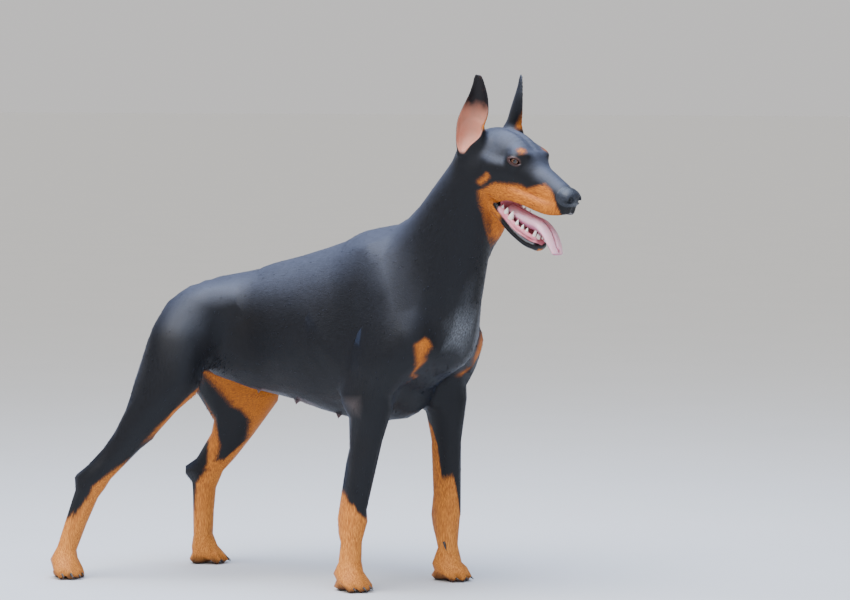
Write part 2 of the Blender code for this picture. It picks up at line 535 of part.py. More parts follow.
def surface_nets(field, lo, hi, cell, level=0.0, block=8):
    """Closed quads on the field's zero level, with the field worked out only near it."""
    lo, hi = np.asarray(lo, float), np.asarray(hi, float)
    n = (np.ceil((hi - lo) / cell / block).astype(int)) * block + 1
    values = np.full(n, 1.0, np.float32)
    coarse = np.stack(np.meshgrid(*[np.arange(0, m - 1, block) for m in n], indexing="ij"), -1).reshape(-1, 3)
    centre = lo + (coarse + block / 2) * cell
    f = field(centre) - level
    reach = block * cell * 0.87 * 1.6 + 0.004
    values_block = np.sign(f)
    corners = np.stack(np.meshgrid(*[np.arange(block + 1)] * 3, indexing="ij"), -1).reshape(-1, 3)
    for c, s in zip(coarse[np.abs(f) > reach], values_block[np.abs(f) > reach]):
        values[c[0]:c[0] + block + 1, c[1]:c[1] + block + 1, c[2]:c[2] + block + 1] = s
    near = coarse[np.abs(f) <= reach]
    for i in range(0, len(near), 400):
        idx = (near[i:i + 400, None] + corners).reshape(-1, 3)
        flat = np.unique(np.ravel_multi_index(idx.T, n))
        idx = np.stack(np.unravel_index(flat, n), 1)
        values.reshape(-1)[flat] = field(lo + idx * cell) - level
    close_pinches(values)
    inside = values < 0
    cube = [(i, j, k) for i in (0, 1) for j in (0, 1) for k in (0, 1)]
    m = [s - 1 for s in n]
    count = sum(inside[i:i + m[0], j:j + m[1], k:k + m[2]].astype(np.int8) for i, j, k in cube)
    cells = np.argwhere((count > 0) & (count < 8))
    total, hits = np.zeros((len(cells), 3)), np.zeros(len(cells))
    for a in cube:
        for axis in range(3):
            if a[axis]:
                continue
            b = list(a)
            b[axis] = 1
            va = values[tuple((cells + a).T)]
            vb = values[tuple((cells + b).T)]
            cross = (va < 0) != (vb < 0)
            t = np.where(cross, va / np.where(cross, va - vb, 1), 0)
            point = np.array(a, float) + t[:, None] * (np.array(b) - a)
            total += point * cross[:, None]
            hits += cross
    verts = lo + (cells + total / hits[:, None]) * cell
    number = np.full(m, -1, np.int64)
    number[tuple(cells.T)] = np.arange(len(cells))
    faces = []
    for axis in range(3):
        u, v = (axis + 1) % 3, (axis + 2) % 3
        a = [slice(1, -1)] * 3
        b = [slice(1, -1)] * 3
        a[axis], b[axis] = slice(0, -1), slice(1, None)
        start, stop = inside[tuple(a)], inside[tuple(b)]
        for flip, hit in ((False, start & ~stop), (True, ~start & stop)):
            at = np.argwhere(hit)
            at[:, u] += 1
            at[:, v] += 1
            eu, ev = np.eye(3, dtype=int)[u], np.eye(3, dtype=int)[v]
            quad = [number[tuple((at - o).T)] for o in (eu + ev, ev, 0 * eu, eu)]
            quad = np.stack(quad, 1)
            faces.append(quad[:, ::-1] if flip else quad)
    return verts, np.vstack(faces)


def material(name, colour, roughness):
    """A plain material of the node's main colour."""
    made = bpy.data.materials.new(name)
    made.use_nodes = True
    shader = made.node_tree.nodes["Principled BSDF"]
    shader.inputs["Base Color"].default_value = (*colour, 1)
    shader.inputs["Roughness"].default_value = roughness
    shader.inputs["Metallic"].default_value = 0.0
    return made


def mesh_object(name, verts, faces):
    """An object from points and faces, in the scene."""
    mesh = bpy.data.meshes.new(name)
    mesh.from_pydata([tuple(v) for v in verts], [], [tuple(int(i) for i in f) for f in faces])
    mesh.validate()
    made = bpy.data.objects.new(name, mesh)
    bpy.context.scene.collection.objects.link(made)
    return made


def remove(made):
    """Takes an object and its mesh out of the file."""
    mesh = made.data
    bpy.data.objects.remove(made)
    bpy.data.meshes.remove(mesh)


def apply(made):
    """Replaces the mesh by its evaluated one and clears the modifiers."""
    bpy.context.view_layer.update()
    graph = bpy.context.evaluated_depsgraph_get()
    mesh = bpy.data.meshes.new_from_object(made.evaluated_get(graph))
    old = made.data
    made.modifiers.clear()
    made.data = mesh
    bpy.data.meshes.remove(old)


def thin(made, triangles):
    """Brings the mesh down to about this many triangles."""
    made.data.calc_loop_triangles()
    modifier = made.modifiers.new("Decimate", "DECIMATE")
    modifier.ratio = min(1.0, triangles / len(made.data.loop_triangles))
    apply(made)


def net(name, field, lo, hi, cell, triangles, level=0.0):
    """An object on a field's surface, thinned to a number of triangles."""
    verts, faces = surface_nets(field, lo, hi, cell, level)
    made = mesh_object(name, verts, faces)
    keep_largest(made)
    thin(made, triangles)
    return made


def within(field, frame, lo, hi, margin):
    """The field cut off just outside a block, so that its net closes."""
    origin, axes = frame
    middle, half = (np.array(lo) + hi) / 2, (np.array(hi) - lo) / 2 + margin

    def cut(p):
        away = np.abs((p - origin) @ np.stack(axes).T - middle) - half
        return np.maximum(field(p), away.max(axis=1))

    return cut


def keep_largest(made):
    """Keeps the closed surface that has the most faces."""
    bm = bmesh.new()
    bm.from_mesh(made.data)
    left, best = set(bm.faces), []
    while left:
        island, edge = [], [left.pop()]
        while edge:
            face = edge.pop()
            island.append(face)
            for e in face.edges:
                for other in e.link_faces:
                    if other in left:
                        left.remove(other)
                        edge.append(other)
        if len(island) > len(best):
            best = island
    keep = set(best)
    bmesh.ops.delete(bm, geom=[f for f in bm.faces if f not in keep], context="FACES")
    bm.to_mesh(made.data)
    bm.free()


def closed_volume(mesh):
    """The volume inside the mesh, or 0 where an edge hasn't exactly two faces."""
    bm = bmesh.new()
    bm.from_mesh(mesh)
    closed = all(len(e.link_faces) == 2 for e in bm.edges)
    volume = bm.calc_volume(signed=True) if closed else 0.0
    bm.free()
    return volume


def boolean(made, operation, other=None, group=None):
    """One Boolean, by the EXACT solver, or by MANIFOLD where EXACT leaves an open edge or no change."""
    before = made.data.copy()
    start = closed_volume(before)
    for solver in ("EXACT", "MANIFOLD"):
        modifier = made.modifiers.new("Boolean", "BOOLEAN")
        modifier.operation = operation
        modifier.solver = solver
        if group is None:
            modifier.object = other
        else:
            modifier.operand_type = "COLLECTION"
            modifier.collection = group
        apply(made)
        volume = closed_volume(made.data)
        if volume > 0 and abs(volume - start) > SMALLEST_CHANGE:
            break
        if solver == "EXACT":
            made.data = before.copy()
    bpy.data.meshes.remove(before)


def block(frame, lo, hi, grow=0.0):
    """A closed box with corners lo and hi in a frame of origin and three axes."""
    origin, axes = frame
    lo, hi = np.array(lo) - grow, np.array(hi) + grow
    corners = np.array([(x, y, z) for x in (lo[0], hi[0]) for y in (lo[1], hi[1]) for z in (lo[2], hi[2])])
    faces = [(0, 1, 3, 2), (4, 6, 7, 5), (0, 4, 5, 1), (2, 3, 7, 6), (0, 2, 6, 4), (1, 5, 7, 3)]
    return mesh_object("block", origin + corners @ np.stack(axes), faces)


def split(rest, name, frame, lo, hi):
    """Takes the part of rest inside a block as a new object, with a clear gap between them."""
    taken = rest.copy()
    taken.data = rest.data.copy()
    taken.name = taken.data.name = name
    bpy.context.scene.collection.objects.link(taken)
    inner = block(frame, lo, hi)
    boolean(taken, "INTERSECT", inner)
    remove(inner)
    outer = block(frame, lo, hi, CLEAR)
    boolean(rest, "DIFFERENCE", outer)
    remove(outer)
    keep_largest(taken)
    return taken


def axes_from(forward, side):
    """Right-handed axes with z along forward."""
    z = np.asarray(forward, float) / np.linalg.norm(forward)
    y = np.asarray(side, float) - z * (z @ np.asarray(side, float))
    y /= np.linalg.norm(y)
    return np.stack([np.cross(y, z), y, z])


def flat(heading):
    """Level axes turned to a heading."""
    return np.array([(cos(heading), sin(heading), 0), (-sin(heading), cos(heading), 0), (0, 0, 1)])


def cone(name, root, tip, radius, sides=8, blunt=0.25, bend=None):
    """A closed tapered claw or tooth from its sunk root to its tip."""
    root, tip = np.asarray(root, float), np.asarray(tip, float)
    axes = axes_from(tip - root, (0.3, 0.9, 0.2))
    verts = []
    levels = ((0.0, 1.0), CONE_MIDDLE, (1.0, blunt))
    for t, r in levels:
        centre = root + (tip - root) * t
        if bend is not None:
            centre = centre + np.asarray(bend) * t * t
        for i in range(sides):
            a = 2 * pi * i / sides
            verts.append(centre + radius * r * (cos(a) * axes[0] + sin(a) * axes[1]))
    last = len(levels) - 1
    faces = [tuple(range(sides))[::-1], tuple(range(last * sides, (last + 1) * sides))]
    for k in range(last):
        for i in range(sides):
            j = (i + 1) % sides
            faces.append((k * sides + i, k * sides + j, (k + 1) * sides + j, (k + 1) * sides + i))
    return mesh_object(name, verts, faces)


def fuse(made, pieces):
    """One union of the object with a collection of closed pieces, rooted in it."""
    group = bpy.data.collections.new("pieces")
    bpy.context.scene.collection.children.link(group)
    for piece in pieces:
        bpy.context.scene.collection.objects.unlink(piece)
        group.objects.link(piece)
    boolean(made, "UNION", group=group)
    for piece in pieces:
        remove(piece)
    bpy.data.collections.remove(group)
    keep_largest(made)


def claws(at, heading, size, dewclaw):
    """Four claws on the toes, and the dewclaw on a foreleg."""
    f, s, _ = flat(heading)
    base = np.array([at[0], at[1], 0])
    made = []
    for spread, reach in TOES:
        root = base + s * spread * size + f * (reach + CLAW_AHEAD) * size + (0, 0, CLAW_HEIGHT)
        tip = root + f * CLAW_LENGTH * size + (0, 0, -CLAW_FALL)
        made.append(cone("claw", root, tip, CLAW_RADIUS, 6, 0.3, (0, 0, -CLAW_BEND)))
    if dewclaw is not None:
        root, tip = dewclaw
        made.append(cone("claw", root, tip, CLAW_RADIUS, 6, 0.3))
    return made


def teeth():
    """The lower row: incisors, canines and cheek teeth, on the ridge of the jaw."""
    made = []
    ridge = spline(TOOTH_RIDGE, 8)
    for side in (RIGHT, LEFT):
        for t, high, wide in TOOTH_SIZES:
            x, y, z = ridge[int(t * (len(ridge) - 1))]
            root = head_point(x, side * y, z - TOOTH_SUNK)
            tip = head_point(x + 0.35 * high, side * (y + 0.02 * high), z + high)
            made.append(cone("tooth", root, tip, wide, 5, 0.3))
    return made


def teats(places):
    """A pair of teats under the body at each place along the spine."""
    made = []
    for x in places:
        for side in (RIGHT, LEFT):
            where = beside(x, side * TEAT_OUT, 0)
            height = belly_height(where)
            root = where + (0, 0, height + 0.010)
            made.append(cone("teat", root, where + (0, 0, height - TEAT_LENGTH), TEAT_RADIUS, 6, 0.6))
    return made


def belly_height(where):
    """Height of the body's underside above a point of the floor."""
    z = np.linspace(0.25, 0.45, 401)
    column = np.column_stack([np.full(401, where[0]), np.full(401, where[1]), z])
    return z[np.argmax(whole(column) < 0)]


def ball(name, centre, radius):
    """A closed sphere."""
    bm = bmesh.new()
    bmesh.ops.create_uvsphere(bm, u_segments=18, v_segments=10, radius=radius)
    mesh = bpy.data.meshes.new(name)
    bm.to_mesh(mesh)
    bm.free()
    made = bpy.data.objects.new(name, mesh)
    made.location = centre
    bpy.context.scene.collection.objects.link(made)
    return made


def local(p):
    """Points in the head's own frame."""
    return (p - EYES) @ HEAD_AXES.T


def upright(sides, top):
    """Corners of a block from under the floor up to a height."""
    return (*sides[0], -UNDER), (*sides[1], top)


def build():
    """Every node, in the stance."""
    for old in list(bpy.data.objects):
        bpy.data.objects.remove(old)
    head_frame = (EYES, HEAD_AXES)
    head_cut = (head_point(*HEAD_CUT), axes_from(HEAD_CUT_NORMAL @ HEAD_AXES, HEAD_Y))
    nodes = {}

    below = within(whole, head_cut, (-BIG, -BIG, -2 * BIG), (BIG, BIG, 0.0), 0.02)
    body = net("body", below, *BODY_ROOM, CELL_BODY, TRIANGLES_BODY)
    top = block(head_cut, (-BIG, -BIG, 0.0), (BIG, BIG, BIG))
    boolean(body, "DIFFERENCE", top)
    remove(top)
    ground = block((np.zeros(3), np.eye(3)), (-BIG, -BIG, -BIG), (BIG, BIG, FLOOR))
    boolean(body, "DIFFERENCE", ground)
    remove(ground)
    keep_largest(body)

    above = within(whole, head_cut, (-BIG, -BIG, 0.0), (BIG, BIG, BIG), 0.01)
    skin = net("head", above, *HEAD_ROOM, CELL_HEAD, TRIANGLES_HEAD)
    bottom = block(head_cut, (-BIG, -BIG, -BIG), (BIG, BIG, CLEAR))
    boolean(skin, "DIFFERENCE", bottom)
    remove(bottom)
    keep_largest(skin)
    nodes["head"] = skin

    # ears, from a finer net
    for side, name in ((RIGHT, "right_ear"), (LEFT, "left_ear")):
        mirror = np.diag([1, side, 1])
        ear_axes = np.stack([EAR_OUT, side * EAR_ACROSS, EAR_UP]) @ mirror @ HEAD_AXES
        frame = (head_point(EAR_TIP[0], side * EAR_TIP[1], EAR_TIP[2]), ear_axes)
        across = sorted(side * a for a in EAR_ACROSS_SPAN)
        lo = (EAR_OUT_SPAN[0], across[0], EAR_UP_SPAN[0])
        hi = (EAR_OUT_SPAN[1], across[1], EAR_UP_SPAN[1])
        corners = np.array([(x, y, z) for x in (lo[0], hi[0]) for y in (lo[1], hi[1]) for z in (lo[2], hi[2])])
        world = frame[0] + corners @ ear_axes
        near = within(whole, frame, lo, hi, 0.003)
        made = net(name, near, world.min(0) - EAR_MARGIN, world.max(0) + EAR_MARGIN, CELL_EAR, FINE_EAR)
        inner = block(frame, lo, hi)
        boolean(made, "INTERSECT", inner)
        remove(inner)
        keep_largest(made)
        thin(made, TRIANGLES_EAR)
        nodes[name] = made
        outer = block(frame, lo, hi, CLEAR)
        for rest in (skin, body):
            boolean(rest, "DIFFERENCE", outer)
            keep_largest(rest)
        remove(outer)

    # eyes in their sockets
    for side, name in ((RIGHT, "right_eye"), (LEFT, "left_eye")):
        centre = head_point(EYE_AT[0], side * EYE_AT[1], EYE_AT[2])
        nodes[name] = ball(name, centre, EYE_RADIUS)
        socket = ball("socket", centre, EYE_RADIUS + 2 * CLEAR)
        bpy.context.view_layer.update()
        boolean(skin, "DIFFERENCE", socket)
        remove(socket)

    # tongue, with the mouth cut clear of it
    lo, hi = EYES + MOUTH_ROOM[0], EYES + MOUTH_ROOM[1]
    nodes["tongue"] = net("tongue", lambda p: tongue(local(p)), lo, hi, CELL_TONGUE, TRIANGLES_TONGUE)
    pocket = net("pocket", lambda p: tongue(local(p)), lo, hi, CELL_TONGUE, 2 * TRIANGLES_TONGUE, 3 * CLEAR)
    boolean(skin, "DIFFERENCE", pocket)
    keep_largest(skin)

    nodes["nose"] = split(skin, "nose", head_frame, *NOSE_BOX)
    jaw_frame = (head_point(*JAW_CUT), axes_from(JAW_CUT_NORMAL @ HEAD_AXES, HEAD_Y))
    nodes["lower_jaw"] = split(skin, "lower_jaw", jaw_frame, *JAW_BOX)
    fuse(nodes["lower_jaw"], teeth())
    boolean(nodes["lower_jaw"], "DIFFERENCE", pocket)
    keep_largest(nodes["lower_jaw"])
    remove(pocket)

    # legs, from the floor up
    front, rear = flat(FRONT_TURN), flat(REAR_TURN)
    for side, word in ((RIGHT, "right"), (LEFT, "left")):
        foot = np.array([*FORE_FOOT[side], 0])
        name = f"{word}_forepaw"
        nodes[name] = split(body, name, (foot, front), *upright(PAW_BLOCK, FOREPAW_TOP))
        dewclaw = foot + DEWCLAW_ROOT * (1, side, 1), foot + DEWCLAW_TIP * (1, side, 1)
        fuse(nodes[name], claws(foot, FORE_PAW_TURN[side], 1.0, dewclaw))
        name = f"{word}_forearm"
        nodes[name] = split(body, name, (foot, front), *upright(FOREARM_BLOCK, FOREARM_TOP))
        name = f"{word}_upper_arm"
        elbow = beside(-0.01, side * (UPPER_ARM_INNER + UPPER_ARM_BLOCK[1][1]), 0)
        nodes[name] = split(body, name, (elbow, front), *upright(UPPER_ARM_BLOCK, UPPER_ARM_TOP))

        foot = np.array([*HIND_FOOT[side], 0])
        name = f"{word}_hindpaw"
        nodes[name] = split(body, name, (foot, rear), *upright(PAW_BLOCK, HINDPAW_TOP))
        fuse(nodes[name], claws(foot, HIND_PAW_TURN[side], HIND_PAW_SIZE, None))
        name = f"{word}_rear_pastern"
        nodes[name] = split(body, name, (foot, rear), *upright(REAR_PASTERN_BLOCK, HOCK_TOP))
        name = f"{word}_shank"
        nodes[name] = split(body, name, (foot, rear), *upright(SHANK_BLOCK, SHANK_TOP))
        name = f"{word}_thigh"
        hip = beside(-0.42, side * (THIGH_INNER + THIGH_BLOCK[1][1]), 0)
        nodes[name] = split(body, name, (hip, rear), *upright(THIGH_BLOCK, THIGH_TOP))

    # neck, tail, and the trunk in two
    along_neck = axes_from((*(NECK_CUT_AHEAD * front[0, :2]), NECK_CUT_UP), (0, 1, 0))
    neck_base = np.array([NECK_CUT_X, spine_y(NECK_CUT_X), NECK_CUT_Z])
    nodes["neck"] = split(body, "neck", (neck_base, along_neck), (-BIG, -BIG, 0.0), (BIG, BIG, BIG))
    fuse(body, [net("stub", docked_tail, *TAIL_ROOM, CELL_TAIL, TRIANGLES_TAIL)])
    nodes["tail"] = split(body, "tail", (beside(TAIL_X, 0, 0), rear), *TAIL_BLOCK)
    loin = (beside(LOIN_X, 0, 0), flat(float(turn(LOIN_X))))
    nodes["abdomen"] = split(body, "abdomen", loin, (-BIG, -BIG, 0), (0.0, BIG, BIG))
    keep_largest(body)
    nodes["thorax"] = body
    fuse(nodes["abdomen"], teats(TEATS_BEHIND_LOIN))
    fuse(body, teats(TEATS_AHEAD_OF_LOIN))
    return nodes


def place(nodes):
    """Moves the model so that the middle of its footprint is the origin."""
    lo, hi = np.full(3, 9.0), np.full(3, -9.0)
    bpy.context.view_layer.update()
    for made in nodes.values():
        points = np.array([made.matrix_world @ v.co for v in made.data.vertices])
        lo, hi = np.minimum(lo, points.min(0)), np.maximum(hi, points.max(0))
    shift = -np.array([(lo[0] + hi[0]) / 2, (lo[1] + hi[1]) / 2, lo[2]])
    for made in nodes.values():
        made.location = np.array(made.location) + shift


def main():
    """Builds the nodes, sets them on the origin and gives them their materials."""
    nodes = build()
    place(nodes)
    looks = {"black_coat": (BLACK_COAT, 0.35), "rust_coat": (RUST_COAT, 0.6), "nose_leather": (LEATHER, 0.3),
             "tongue_flesh": (TONGUE_PINK, 0.35), "iris": (IRIS_BROWN, 0.05)}
    made = {name: material(name, *look) for name, look in looks.items()}
    for name, node in nodes.items():
        node.name = node.data.name = name
        kind = "black_coat"
        if "paw" in name or "pastern" in name:
            kind = "rust_coat"
        elif name == "nose":
            kind = "nose_leather"
        elif name == "tongue":
            kind = "tongue_flesh"
        elif "eye" in name:
            kind = "iris"
        node.data.materials.clear()
        node.data.materials.append(made[kind])
        node.data.shade_smooth()


main()
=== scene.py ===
"""Looks of a standing doberman, rust and black, mouth open: skin, short coat, eyes, teeth, tongue and claws.

The body is a distance field of tubes along the bones and muscles, meshed once as a single skin.
Marks on the skin, such as rust hair, gums or nose leather, are point attributes worked out from named shapes,
and the tufts of the coat read the same ones at their roots.
"""
from math import radians, sin, cos, tan, pi

import bpy
import numpy as np
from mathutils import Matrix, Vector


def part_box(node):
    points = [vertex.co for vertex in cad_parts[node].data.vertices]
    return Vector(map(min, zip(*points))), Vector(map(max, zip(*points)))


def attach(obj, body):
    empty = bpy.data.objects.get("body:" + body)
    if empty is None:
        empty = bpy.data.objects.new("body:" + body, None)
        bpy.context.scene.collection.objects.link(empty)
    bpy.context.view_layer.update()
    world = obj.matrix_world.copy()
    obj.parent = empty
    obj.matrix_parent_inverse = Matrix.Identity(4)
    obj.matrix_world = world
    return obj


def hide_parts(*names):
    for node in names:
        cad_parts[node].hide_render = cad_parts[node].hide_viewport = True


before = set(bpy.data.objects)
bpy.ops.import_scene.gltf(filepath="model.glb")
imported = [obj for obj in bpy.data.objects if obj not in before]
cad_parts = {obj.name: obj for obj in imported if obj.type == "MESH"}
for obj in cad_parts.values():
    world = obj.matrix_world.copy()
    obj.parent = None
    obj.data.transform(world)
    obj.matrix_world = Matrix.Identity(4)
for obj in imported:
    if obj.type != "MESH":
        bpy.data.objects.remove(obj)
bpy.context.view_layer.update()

# Stance: X forward, Y the dog's left, Z up, metres
HEAD_TURN, HEAD_PITCH = radians(-21), radians(-16)
FRONT_TURN, REAR_TURN = radians(-12), radians(16)
REAR_X = -0.50
SPINE_Y = -0.082
EYES = np.array([0.2555, -0.119, 0.7645])
HEAD_X = np.array([cos(HEAD_TURN) * cos(HEAD_PITCH), sin(HEAD_TURN) * cos(HEAD_PITCH), sin(HEAD_PITCH)])
HEAD_Y = np.array([-sin(HEAD_TURN), cos(HEAD_TURN), 0.0])
HEAD_Z = np.cross(HEAD_X, HEAD_Y)
HEAD_AXES = np.stack([HEAD_X, HEAD_Y, HEAD_Z])


def spine_y(x):
    """Y of the middle plane, a parabola between the hips and the shoulders."""
    s0, s1 = tan(REAR_TURN), tan(FRONT_TURN)
    a = np.clip(x, REAR_X, 0.0)
    bend = (s1 - s0) / (0.0 - REAR_X)
    y = SPINE_Y + s0 * (a - REAR_X) + bend * (a - REAR_X) ** 2 / 2
    return y + (x - a) * np.where(x > 0, s1, s0)


def turn(x):
    s0, s1 = tan(REAR_TURN), tan(FRONT_TURN)
    t = np.clip((x - REAR_X) / (0.0 - REAR_X), 0, 1)
    return np.arctan(s0 + (s1 - s0) * t)


def beside(x, side, z):
    """A point at x along the spine, side metres to the left of the middle plane."""
    h = turn(x)
    return np.array([x - sin(h) * side, spine_y(x) + cos(h) * side, z])


def head_point(x, y, z):
    return EYES + x * HEAD_X + y * HEAD_Y + z * HEAD_Z


def smooth_min(a, b, k):
    h = np.maximum(k - np.abs(a - b), 0) / k
    return np.minimum(a, b) - h * h * k / 4


def smooth_cut(a, b, k):
    """a with b taken out."""
    return -smooth_min(-a, b, k)


def ellipsoid(p, centre, radii, axes=None):
    q = p - np.asarray(centre)
    if axes is not None:
        q = q @ np.asarray(axes).T
    r = np.asarray(radii)
    k0 = np.linalg.norm(q / r, axis=1)
    k1 = np.linalg.norm(q / (r * r), axis=1) + 1e-9
    return k0 * (k0 - 1) / k1


FAR = 0.08


def spline(rows, steps):
    rows = np.asarray(rows, float)
    ends = np.vstack([2 * rows[0] - rows[1], rows, 2 * rows[-1] - rows[-2]])
    out = []
    for i in range(len(rows) - 1):
        a, b, c, d = ends[i:i + 4]
        for t in np.arange(steps) / steps:
            out.append(0.5 * (2 * b + (c - a) * t + (2 * a - 5 * b + 4 * c - d) * t * t
                              + (3 * b - a - 3 * c + d) * t ** 3))
    out.append(rows[-1])
    return np.array(out)


def tube(p, rows, side, steps=4, cap=1.0):
    """Rows are x, y, z, radius above, radius below, half width; side is the width's direction."""
    path = spline(rows, steps)
    lo = path[:, :3].min(0) - path[:, 3:].max() - FAR
    hi = path[:, :3].max(0) + path[:, 3:].max() + FAR
    if not len(p) or np.any(p.max(0) < lo) or np.any(p.min(0) > hi):
        return np.full(len(p), FAR)
    out = np.linalg.norm(np.maximum(np.maximum(lo - p, p - hi), 0), axis=1) + FAR
    near = np.all((p > lo) & (p < hi), axis=1)
    q = p[near]
    if not len(q):
        return out
    best = np.full(len(q), 9e9)
    index = np.zeros(len(q), int)
    along = np.zeros(len(q))
    for i in range(len(path) - 1):
        a, ab = path[i, :3], path[i + 1, :3] - path[i, :3]
        t = np.clip((q - a) @ ab / (ab @ ab), 0, 1)
        d = q - a - t[:, None] * ab
        d2 = np.einsum("ij,ij->i", d, d)
        m = d2 < best
        best[m], index[m], along[m] = d2[m], i, t[m]
    step = path[index + 1] - path[index]
    at = path[index] + along[:, None] * step
    ahead = step[:, :3] / np.linalg.norm(step[:, :3], axis=1)[:, None]
    side = np.asarray(side, float)
    across = side - (ahead @ side)[:, None] * ahead
    across /= np.linalg.norm(across, axis=1)[:, None]
    above = np.cross(ahead, across)
    d = q - at[:, :3]
    v = np.einsum("ij,ij->i", d, above)
    w = np.einsum("ij,ij->i", d, across)
    u = np.einsum("ij,ij->i", d, ahead)
    rv = np.where(v > 0, at[:, 3], at[:, 4])
    rw = at[:, 5]
    ru = cap * np.minimum(np.minimum(at[:, 3], at[:, 4]), rw)
    k0 = np.sqrt((v / rv) ** 2 + (w / rw) ** 2 + (u / ru) ** 2)
    k1 = np.sqrt((v / rv ** 2) ** 2 + (w / rw ** 2) ** 2 + (u / ru ** 2) ** 2) + 1e-9
    out[near] = k0 * (k0 - 1) / k1
    return out


# Trunk: x along the spine, top, bottom, half width
TRUNK = [(-0.452, 0.478, 0.405, 0.045), (-0.436, 0.505, 0.385, 0.066), (-0.400, 0.541, 0.366, 0.078),
         (-0.350, 0.556, 0.352, 0.078), (-0.300, 0.567, 0.336, 0.082), (-0.240, 0.584, 0.325, 0.094),
         (-0.165, 0.606, 0.305, 0.105), (-0.095, 0.625, 0.293, 0.106), (-0.030, 0.640, 0.300, 0.098),
         (0.025, 0.610, 0.335, 0.084), (0.070, 0.545, 0.375, 0.062), (0.092, 0.490, 0.410, 0.040)]
WIDEST = 0.46


def trunk(p):
    rows = []
    for x, top, bottom, half in TRUNK:
        mid = bottom + WIDEST * (top - bottom)
        rows.append((x, spine_y(x), mid, top - mid, mid - bottom, half))
    return tube(p, rows, (0, 1, 0), 3, 0.8)


# Neck: x, height, radius to the nape, radius to the throat, half width
NECK = [(-0.030, 0.480, 0.130, 0.143, 0.076), (0.030, 0.570, 0.090, 0.137, 0.074),
        (0.078, 0.642, 0.063, 0.104, 0.063), (0.118, 0.700, 0.052, 0.076, 0.055),
        (0.150, 0.745, 0.046, 0.056, 0.047)]
NECK_SWING = 0.105


def neck(p):
    rows = [(x, spine_y(x) - NECK_SWING * max(x - 0.06, 0), z, a, b, w) for x, z, a, b, w in NECK]
    return tube(p, rows, HEAD_Y * 0.5 + np.array([sin(-FRONT_TURN), cos(FRONT_TURN), 0]) * 0.5, 4)


LEFT, RIGHT = 1, -1
FORE_FOOT = {RIGHT: (-0.081, -0.150), LEFT: (0.024, 0.038)}
HIND_FOOT = {RIGHT: (-0.620, -0.226), LEFT: (-0.478, 0.040)}
FORE_PAW_TURN = {RIGHT: radians(-18), LEFT: radians(-8)}
HIND_PAW_TURN = {RIGHT: radians(-32), LEFT: radians(28)}


def foreleg(p, side):
    fx, fy = FORE_FOOT[side]
    h = FRONT_TURN
    left = np.array([-sin(h), cos(h), 0])
    shoulder = beside(0.050, side * 0.070, 0.440)
    elbow = beside(-0.031, side * 0.088, 0.345) if side == RIGHT else beside(0.004, side * 0.088, 0.345)
    blade = beside(-0.045, side * 0.052, 0.585)
    d = tube(p, [(*blade, 0.035, 0.045, 0.026), (*(0.5 * (blade + shoulder) + 0.008 * side * left), 0.048, 0.058, 0.034),
                 (*shoulder, 0.040, 0.045, 0.036)], left, 4)
    back = elbow + np.array([-0.008, 0, 0.03])
    d = smooth_min(d, tube(p, [(*shoulder, 0.042, 0.045, 0.038), (*(0.5 * shoulder + 0.5 * back + side * 0.01 * left), 0.055, 0.060, 0.038),
                               (*elbow, 0.038, 0.042, 0.030)], left, 4), 0.04)
    wrist = np.array([fx + (0.014 if side == RIGHT else 0.006), fy, 0.125])
    top = elbow + np.array([0.004, 0, -0.015])
    rows = [(*top, 0.049, 0.040, 0.030), (*(top * 0.72 + wrist * 0.28), 0.037, 0.030, 0.0240),
            (*(top * 0.35 + wrist * 0.65), 0.0270, 0.024, 0.0200),
            (*(wrist + (0, 0, 0.022)), 0.0235, 0.024, 0.0205), (*wrist, 0.0235, 0.0255, 0.0225),
            (*(wrist * 0.6 + np.array([fx, fy, 0.035]) * 0.4), 0.0205, 0.022, 0.0205),
            (fx + 0.004, fy, 0.045, 0.021, 0.021, 0.022)]
    d = smooth_min(d, tube(p, rows, left, 3), 0.02)
    # tendons of the forearm down to the bone behind the wrist, and its pad
    back_of = np.array([-0.0215, 0, 0])
    rows = [(*(top * 0.55 + wrist * 0.45 + back_of * 0.8), 0.009, 0.009, 0.009), (*(wrist + back_of + (0, 0, 0.020)), 0.009, 0.010, 0.009),
            (*(wrist + back_of * 1.15 + (0, 0, -0.008)), 0.008, 0.008, 0.010), (*(wrist + back_of * 0.75 + (0, 0, -0.036)), 0.007, 0.007, 0.009)]
    d = smooth_min(d, tube(p, rows, left, 3), 0.012)
    d = smooth_min(d, ellipsoid(p, wrist + back_of * 1.25 + (0, 0, -0.022), (0.0065, 0.0075, 0.0090)), 0.004)
    # point of the elbow
    d = smooth_min(d, ellipsoid(p, elbow + np.array([-0.030, 0, -0.004]), (0.016, 0.012, 0.022)), 0.02)
    return smooth_min(d, paw(p, np.array([fx, fy]), FORE_PAW_TURN[side], 1.0), 0.014)


